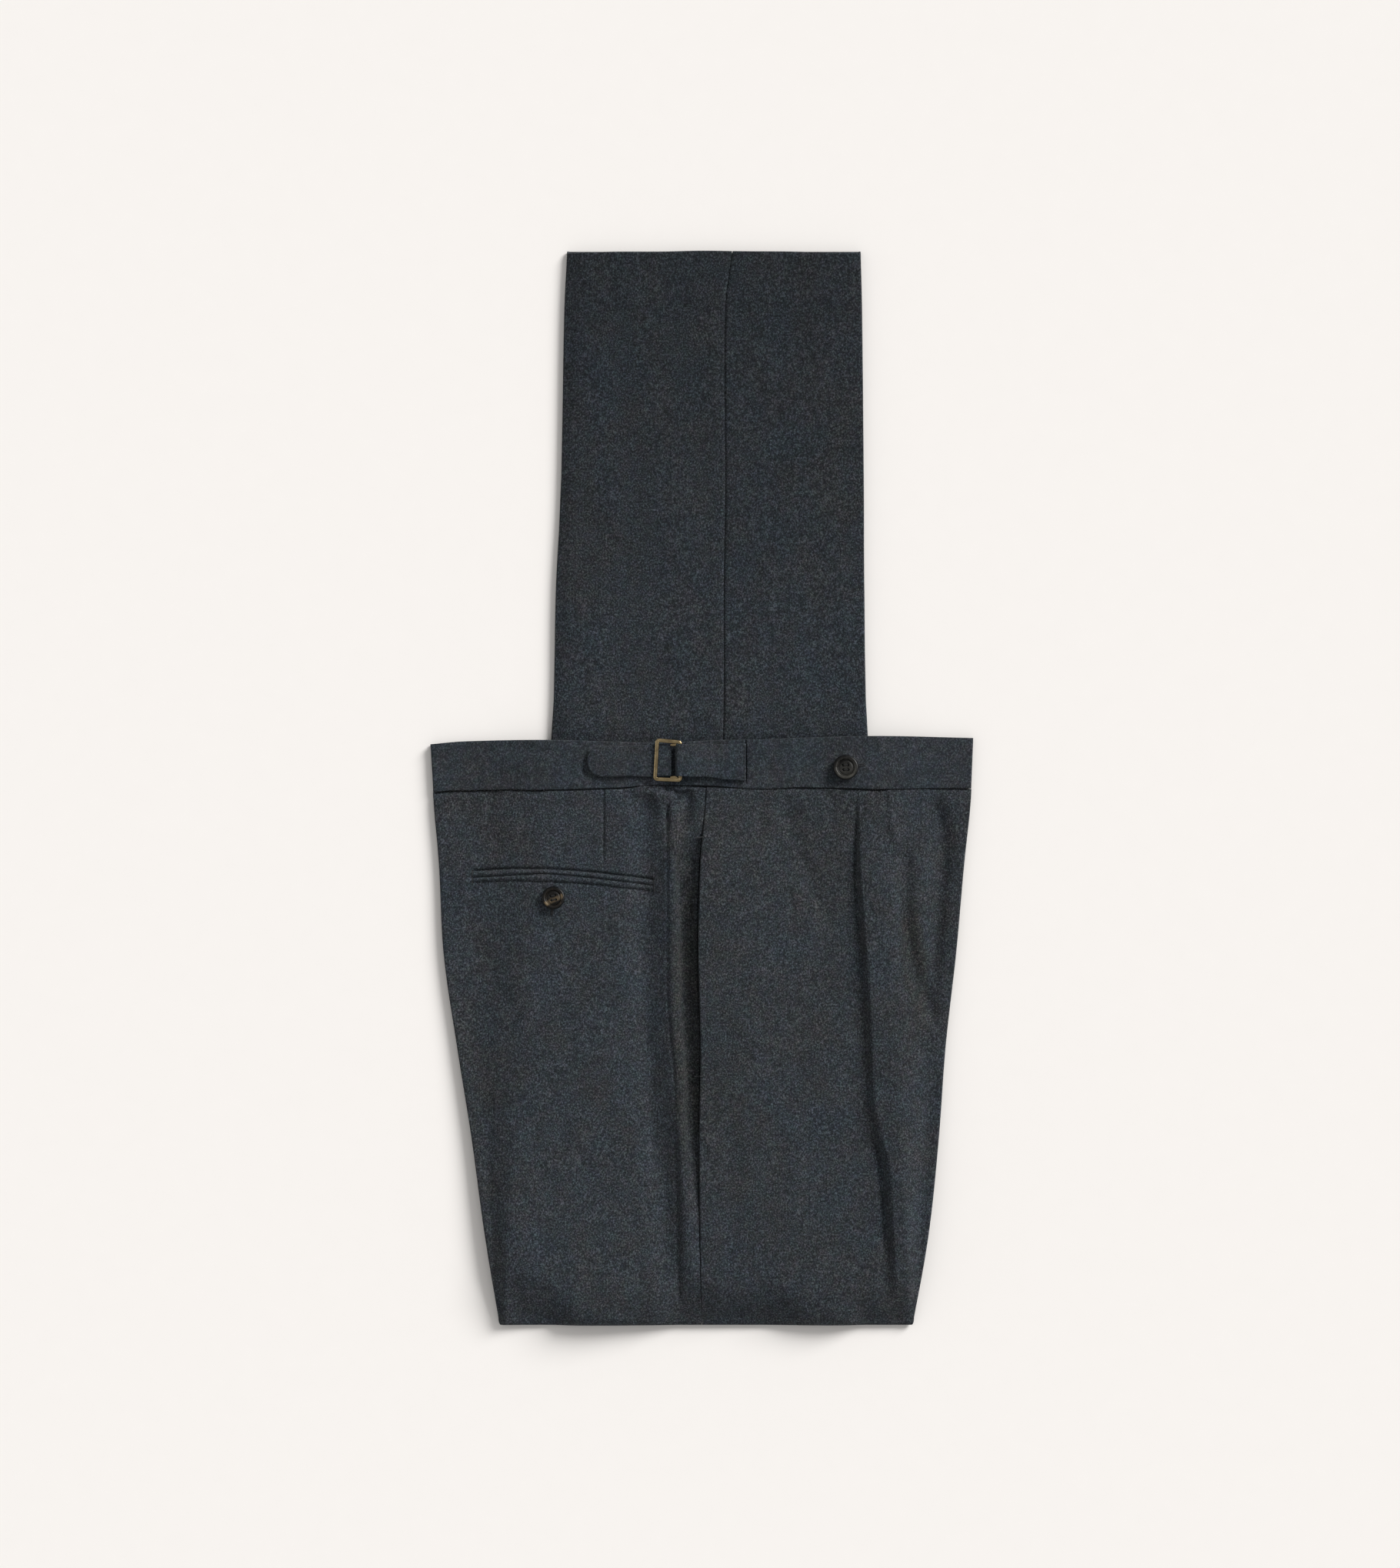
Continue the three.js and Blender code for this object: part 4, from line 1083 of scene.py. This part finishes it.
def roundedFrame(left, right, low, high, corner, step=0.6):
    # the middle line of a frame: four straight sides joined by quarter circles
    turns = np.linspace(0, np.pi / 2, 9)
    corners = [(right - corner, high - corner), (left + corner, high - corner),
               (left + corner, low + corner), (right - corner, low + corner)]
    arcs = []
    for k, (x, y) in enumerate(corners):
        angle = turns + k * np.pi / 2
        arcs.append(np.stack([x + corner * np.cos(angle), y + corner * np.sin(angle)], -1))
    line = np.concatenate(arcs + [arcs[0][:1]])
    away = np.concatenate([[0], np.cumsum(np.hypot(*np.diff(line, axis=0).T))])
    place = np.linspace(0, away[-1], int(away[-1] / step), endpoint=False)
    place = np.unique(np.concatenate([place, away[:-1]]))
    return np.stack([np.interp(place, away, line[:, 0]), np.interp(place, away, line[:, 1])], -1)


def buckleFrame():
    half = buckle["wire"] / 2
    flat = roundedFrame(buckle["left"] + half, buckle["right"] - half, buckle["low"] + half,
                        buckle["high"] - half, buckle["corner"] - 0.4)
    base = aboveBand(-20.0) + strap["wall"] + garment["gap"] + buckle["wall"] / 2
    middle = (buckle["low"] + buckle["high"]) / 2
    lean = buckle["lean"] * (flat[:, 1] - middle) * (1 - ramp(-27, -16, flat[:, 0]))
    across = (flat[:, 0] - buckle["left"]) / (buckle["right"] - buckle["left"])
    near = 1 - buckle["narrow"] * across
    y = middle + (flat[:, 1] - middle) * near - buckle["droop"] * across
    path = np.stack([flat[:, 0] + lean, y, base + 0 * lean], -1)
    parts = [closedWire(path, buckle["wire"], buckle["wall"])]
    across = np.linspace(-1, 1, 9)
    angle = np.linspace(0, 2 * np.pi, 12, endpoint=False)
    thin = np.sqrt(1 - 0.9 * across ** 2)[:, None, None]
    section = [0 * angle, buckle["lugWide"] * np.cos(angle), buckle["lugHigh"] * np.sin(angle)]
    for y in (buckle["high"] - 4.9, buckle["low"] + 2.6):  # ends of the bar that the tab holds
        lugX = buckle["lugX"] + buckle["lugHalf"] * across
        lug = np.stack([lugX, y + 0 * across, base + buckle["lugLift"] + 0 * across], -1)
        parts.append(loftParts(lug[:, None, :] + thin * np.stack(section, -1)[None]))
    return joined("adjusterBuckle", parts, brass)


strapPiece = rideAs(adjusterStrap(), "flannel", "adjuster_strap")
tabPiece = rideAs(adjusterTab(), "flannel", "adjuster_tab")
rideAs(buckleFrame(), "brass", "adjuster_buckle")
print("waistband and adjuster made")


# back pocket and side pocket

jet = {"left": -164, "right": -35, "wall": 0.95, "join": 0.15, "ends": 1.2, "puff": 0.12}
facing = {"width": 2.9, "top": -40, "foot": -150, "wall": 0.9}


def backTop(x, y):
    away = np.abs(x - along(seatSections, "seam", y))
    return seatTop(x, y) - seamGroove["deep"] * np.exp(-away / seamGroove["wide"])


def pocketJet(name, fromLine, toLine, lead):
    # a folded welt: across it the top is a flattened half ellipse, and it thins out at both ends
    x = jet["left"] + (jet["right"] - jet["left"]) * graded(150, [(0.0, 4, 0.01), (1.0, 4, 0.01)])
    start = along(jetLines, fromLine, x, "x")[:, None]
    end = along(jetLines, toLine, x, "x")[:, None]
    turn = np.linspace(0, np.pi, 17)[None, :]
    y = start + (end - start) * (0.02 + 0.96 * (1 - np.cos(turn)) / 2)
    wide = x[:, None] + 0 * y
    ends = np.sqrt(np.clip(np.minimum(x - jet["left"], jet["right"] - x) / jet["ends"], 0.02, 1))[:, None]
    puff = 1 + jet["puff"] * wander(wide, y, 24, 51)
    rest = backTop(wide, y) + jet["join"]
    rise = jet["wall"] * ends * puff * np.sin(turn) ** 0.55 * (1 - lead * np.cos(turn) * 0.15)
    upper = np.stack([wide, y, rest + rise], -1)
    under = np.stack([wide, y, rest - 0.5], -1)[:, ::-1]
    return makeMesh(name, *loftParts(np.concatenate([upper, under], 1)), flannel)


def pocketFacing():
    # the side pocket's facing: a narrow folded strip just behind the mouth's edge
    y = np.linspace(facing["top"], facing["foot"], 110)
    seam = along(seatSections, "seam", y)[:, None]
    turn = np.linspace(0, np.pi, 13)[None, :]
    ends = np.sqrt(np.clip(np.minimum(facing["top"] - y, y - facing["foot"]) / 6, 0.02, 1))[:, None]
    wide = facing["width"] * (0.75 + 0.25 * ends) + 0.2 * np.sin(y * 0.13)[:, None]
    x = seam - 0.2 - wide * (1 - np.cos(turn)) / 2
    rest = backTop(x, y[:, None] + 0 * x) + 0.1
    upper = np.stack([x, y[:, None] + 0 * x, rest + facing["wall"] * ends * np.sin(turn) ** 0.6], -1)
    under = np.stack([x, y[:, None] + 0 * x, rest - 0.5], -1)[:, ::-1]
    return makeMesh("sidePocketFacing", *loftParts(np.concatenate([upper, under], 1)), flannel)


upperJet = rideAs(pocketJet("upperJet", "top", "slit", 1), "flannel", "back_pocket_upper_jet")
lowerJet = rideAs(pocketJet("lowerJet", "slit", "foot", -1), "flannel", "back_pocket_lower_jet")
facingPiece = rideAs(pocketFacing(), "flannel", "side_pocket_facing")


# horn buttons

bandButton = {
    "name": "waistButton", "node": "waistband_button",
    "x": 102.8, "y": 14.6, "radius": 9.0, "wall": 2.5, "turn": 0.05, "tilt": (-0.2, 0.05), "lift": 1.1,
    "dark": (0.003, 0.0028, 0.0025), "pale": (0.028, 0.0272, 0.023), "veinAndHighlight": None,
}
pocketButton = {
    "name": "pocketButton", "node": "back_pocket_button",
    "x": -106.1, "y": -78.5, "radius": 8.2, "wall": 2.3, "turn": 0.2, "tilt": (-0.2, 0.05), "lift": 1.0,
    # its pale streak is partly the horn's own streak and partly a painted highlight
    "dark": (0.004, 0.003, 0.0022), "pale": (0.11, 0.079, 0.044), "veinAndHighlight": ((-104.0, -79.0), 0.45, 2.2),
}
buttonProfile = {  # from the middle of the face over the rim to the middle of the back
    "s": [0, 1, 2, 3, 4, 5, 6, 7, 8, 9, 10, 11, 12, 13],
    "r": [0, 0.30, 0.52, 0.58, 0.63, 0.69, 0.76, 0.83, 0.90, 0.96, 1.0, 0.95, 0.60, 0],
    "z": [0.60, 0.60, 0.58, 0.46, 0.50, 0.80, 0.98, 1.0, 0.97, 0.88, 0.62, 0.30, 0.02, 0],
}
buttonHole = {"ring": 0.27, "radius": 0.10}  # shares of the button's radius


def buttonBody(one):
    s = np.linspace(0, 13, 92)[1:-1]
    r = one["radius"] * np.maximum(along(buttonProfile, "r", s, "s"), 0.004)
    z = one["wall"] * along(buttonProfile, "z", s, "s")
    angle = np.linspace(0, 2 * np.pi, 96, endpoint=False)
    rings = np.stack([r[:, None] * np.cos(angle), r[:, None] * np.sin(angle), z[:, None] + 0 * angle], -1)
    return loftParts(rings)


def drillParts(one):  # four rods that cut the holes, wider towards the face
    angle = np.linspace(0, 2 * np.pi, 24, endpoint=False)
    rows = np.array([-2.0, one["wall"] * 0.50, one["wall"] * 0.62, one["wall"] + 2])
    wide = one["radius"] * buttonHole["radius"] * np.array([1, 1, 1.1, 1.4])
    parts = []
    for corner in range(4):
        place = np.pi / 4 + corner * np.pi / 2
        middle = one["radius"] * buttonHole["ring"] * np.array([np.cos(place), np.sin(place)])
        x = middle[0] + wide[:, None] * np.cos(angle)
        y = middle[1] + wide[:, None] * np.sin(angle)
        parts.append(loftParts(np.stack([x, y, rows[:, None] + 0 * angle], -1)))
    return parts


def settled(points, one, rest):  # turned and tilted about its middle, then put in its place
    a, b, c = *one["tilt"], one["turn"]
    aboutX = np.array([[1, 0, 0], [0, np.cos(a), -np.sin(a)], [0, np.sin(a), np.cos(a)]])
    aboutY = np.array([[np.cos(b), 0, np.sin(b)], [0, 1, 0], [-np.sin(b), 0, np.cos(b)]])
    aboutZ = np.array([[np.cos(c), -np.sin(c), 0], [np.sin(c), np.cos(c), 0], [0, 0, 1]])
    return points @ (aboutX @ aboutY @ aboutZ).T + [one["x"], one["y"], rest + one["lift"]]


def makeButton(name, one, rest, material):
    body = makeMesh(name + "Body", *buttonBody(one), material)
    drill = joined(name + "Drill", drillParts(one), material)
    cut = body.modifiers.new("holes", "BOOLEAN")
    cut.object = drill
    cut.operation = "DIFFERENCE"
    cut.solver = "EXACT"
    shaped = body.evaluated_get(bpy.context.evaluated_depsgraph_get())
    mesh = bpy.data.meshes.new_from_object(shaped)
    spots = np.empty(len(mesh.vertices) * 3)
    mesh.vertices.foreach_get("co", spots)
    spots = settled(spots.reshape(-1, 3) * 1000, one, rest)
    mesh.vertices.foreach_set("co", (spots * 0.001).ravel())
    mesh.update()
    for old in (body, drill):
        bpy.data.objects.remove(old)
    piece = bpy.data.objects.new(name, mesh)
    bpy.context.collection.objects.link(piece)
    return piece


def threadRun(path, wide):  # a round thread along a path of points, with round ends
    ahead = np.gradient(path, axis=0)
    ahead /= np.linalg.norm(ahead, axis=1)[:, None]
    side = np.cross(ahead, [0, 0, 1.0])
    long = np.linalg.norm(side, axis=1)[:, None]
    side = np.where(long > 0.05, side / np.maximum(long, 1e-6), [1.0, 0, 0])
    up = np.cross(side, ahead)
    angle = np.linspace(0, 2 * np.pi, 8, endpoint=False)
    t = np.linspace(-1, 1, len(path))
    thin = np.sqrt(np.clip(1 - np.clip((np.abs(t) - 0.8) / 0.2, 0, 1) ** 2, 0.05, 1))[:, None, None]
    ring = side[:, None] * np.cos(angle)[None, :, None] + up[:, None] * np.sin(angle)[None, :, None]
    return loftParts(path[:, None] + ring * thin * wide / 2)


def buttonThreads(name, one, rest, material):
    # thread over the face from hole to hole, down through them and into a wound shank below
    wide = {"loop": 0.36, "shank": 0.4}
    parts = []
    reach = one["radius"] * buttonHole["ring"] * np.sqrt(0.5)
    face = one["wall"] * 0.56
    for side in (-1, 1):
        for k, drift in enumerate((-0.2, 0.2)):
            t = np.linspace(-1, 1, 17)
            x = np.sign(t) * np.minimum(np.abs(t) * 1.5, 1) * reach
            z = face + 0.42 - np.clip(np.abs(t) - 0.62, 0, 1) * 6 + 0.05 * k
            loop = np.stack([x, side * reach + drift + 0 * t, z], -1)
            parts.append(threadRun(settled(loop, one, rest), wide["loop"]))
    angle = np.linspace(0, 14 * np.pi, 160)
    deep = 0.1 - (0.75 + one["lift"]) * angle / angle[-1]
    coil = np.stack([1.5 * np.cos(angle), 1.5 * np.sin(angle), deep], -1)
    parts.append(threadRun(settled(coil, one, rest), wide["shank"]))
    return joined(name, parts, material)


def frontTop(x, y):
    away = x - along(seatSections, "seam", y)
    proud = along(mouth, "proud", y) * np.exp(-(away / mouth["spread"]) ** 2)
    return seatTop(x, y) + pleatStep(x, y) + proud


def underPocketButton():
    top = seatTop(np.array([pocketButton["x"]]), np.array([pocketButton["y"]]))
    return float(top[0]) + garment["gap"]


for one, rest in ((bandButton, aboveBand(bandButton["x"]) + 0.2), (pocketButton, underPocketButton() + 0.3)):
    place = (one["x"], one["y"], one["radius"])
    horn = makeHorn(one["name"] + "Horn", one["dark"], one["pale"], place, one["veinAndHighlight"])
    rideAs(makeButton(one["name"], one, rest, horn), "horn", one["node"])
    rideAs(buttonThreads(one["name"] + "Thread", one, rest, threadDark), "flannel")
print("pockets and buttons made")


# sewing: bar tacks, buttonholes and the tab's stitches

def stitches(line, rest, long=2.0, every=2.5, wide=0.42):  # a row of single stitches along a line
    line = np.array(line, float)
    away = np.concatenate([[0], np.cumsum(np.hypot(*np.diff(line, axis=0).T))])
    starts = np.arange(0, away[-1] - long * 0.5, every)
    parts = []
    for start in starts:
        place = start + np.linspace(0, long, 7)
        x = np.interp(place, away, line[:, 0])
        y = np.interp(place, away, line[:, 1])
        z = rest(x, y) + 0.16 * np.sin(np.linspace(0, np.pi, 7)) - 0.12
        parts.append(threadRun(np.stack([x, y, z], -1), wide))
    return parts


def barTack(x0, y0, x1, y1, rest, wide=1.3, every=0.42):  # close stitches laid across a short line
    long = np.hypot(x1 - x0, y1 - y0)
    ahead = np.array([x1 - x0, y1 - y0]) / long
    side = np.array([-ahead[1], ahead[0]])
    parts = []
    for place in np.arange(0, long, every):
        t = np.linspace(-1, 1, 7)
        x = x0 + ahead[0] * place + side[0] * wide / 2 * t
        y = y0 + ahead[1] * place + side[1] * wide / 2 * t
        z = rest(x, y) + 0.35 * np.sqrt(np.clip(1 - t * t, 0, 1)) - 0.05
        parts.append(threadRun(np.stack([x, y, z], -1), 0.4))
    return parts


def buttonhole(x0, y0, x1, y1, rest, wide=2.0):  # two facing rows of close stitches
    ahead = np.array([x1 - x0, y1 - y0]) / np.hypot(x1 - x0, y1 - y0)
    side = np.array([-ahead[1], ahead[0]]) * (wide / 4 + 0.12)
    parts = []
    for turn in (-1, 1):
        dx, dy = turn * side
        parts += barTack(x0 + dx, y0 + dy, x1 + dx, y1 + dy, rest, wide / 2)
    return parts


def tabTop(x, y):
    return aboveBand(0.0) + 2 * tab["wall"] + garment["gap"] + 0 * x


def bandFace(x, y):
    return bandTop(x) + 0.1


sewing = (  # tacks at the pockets' ends, buttonholes, the tab's end and the pleat's bar
    barTack(-164.2, -58.6, -164.2, -68.2, backTop)
    + barTack(-34.6, -63.6, -34.0, -74.4, backTop, 1.0)
    + stitches([(-34.0, -64.0), (-29.6, -64.6), (-29.2, -73.8), (-33.8, -74.2)], backTop, 1.5, 1.9)
    + barTack(-4.5, -35.4, 1.2, -35.0, frontTop)
    + barTack(-5.0, -206.0, 1.0, -205.6, frontTop)
    + buttonhole(-106.6, -70.5, -106.9, -89.5, backTop)
    + stitches([(-110.4, -94.0), (-104.6, -94.0)], backTop, 1.7, 1.9)
    + buttonhole(94.5, 13.0, 116.6, 17.3, bandFace)
    + stitches([(30.4, 6.6), (30.6, 31.0)], tabTop)
    + stitches([(128.4, -1.6), (128.2, -7.8), (134.2, -8.0), (134.4, -1.6)], frontTop, 1.3, 1.7)
)
rideAs(joined("sewing", sewing, thread), "flannel")
holeEnd = barTack(-106.8, -86.2, -107.0, -90.6, backTop, 1.3)
rideAs(joined("buttonholeEnd", holeEnd, threadDark), "flannel")
print("sewing made")


# camera, light and floor

photo = {"height": 2038, "mmPerPixel": 0.55, "centre": (-1.2, 3.0), "distance": 3212}
floorLook = {"dark": (0.936, 0.902, 0.868), "pale": (0.942, 0.908, 0.874), "half": 6000, "below": 0.4}
light = {"fill": 0.47, "direct": 0.53, "elevation": 29, "azimuth": 42, "softness": 28}  # shares add up to 1
gleam = {"direct": 0.07, "elevation": 36, "azimuth": 165, "softness": 24}  # seen in brass and horn only


def makeCamera():
    data = bpy.data.cameras.new("camera")
    data.sensor_fit = "VERTICAL"
    data.sensor_height = 24
    seen = photo["height"] * photo["mmPerPixel"]
    data.lens = data.sensor_height * (photo["distance"] - 12) / seen  # to the cloth's mean height
    data.clip_end = 50
    camera = bpy.data.objects.new("camera", data)
    camera.location = np.array([*photo["centre"], photo["distance"]]) * 0.001
    bpy.context.collection.objects.link(camera)
    bpy.context.scene.camera = camera


def makeFloor():
    sheet = Finish("floorFinish")
    speck = sheet.noise(60, 3.0, 0.5)
    colour = sheet.ramped(speck, [(0.3, floorLook["dark"]), (0.7, floorLook["pale"])])
    material = sheet.finish(Base_Color=colour, Roughness=0.9, Specular_IOR_Level=0.1)
    half = floorLook["half"]
    low = -floorLook["below"]
    corners = [(-half, -half, low), (half, -half, low), (half, half, low), (-half, half, low)]
    makeMesh("floor", corners, [[0, 1, 2, 3]], material)


def makeSun(name, look):
    data = bpy.data.lights.new(name, "SUN")
    steep = np.radians(look["elevation"])
    data.energy = look["direct"] * np.pi / np.sin(steep)
    data.angle = np.radians(look["softness"])
    turn = np.radians(look["azimuth"])
    toward = (np.cos(turn) * np.cos(steep), np.sin(turn) * np.cos(steep), np.sin(steep))
    sun = bpy.data.objects.new(name, data)
    sun.rotation_euler = Vector(toward).to_track_quat("Z", "Y").to_euler()
    bpy.context.collection.objects.link(sun)
    return sun


def makeLight():
    world = bpy.data.worlds.new("studio")
    world.use_nodes = True
    background = world.node_tree.nodes["Background"]
    background.inputs["Color"].default_value = (1, 1, 1, 1)
    background.inputs["Strength"].default_value = light["fill"]
    bpy.context.scene.world = world
    bpy.context.scene.view_settings.view_transform = "Standard"
    makeSun("window", light)
    makeSun("paleWall", gleam).visible_diffuse = False


makeCamera()
makeFloor()
makeLight()

print("scene ready")
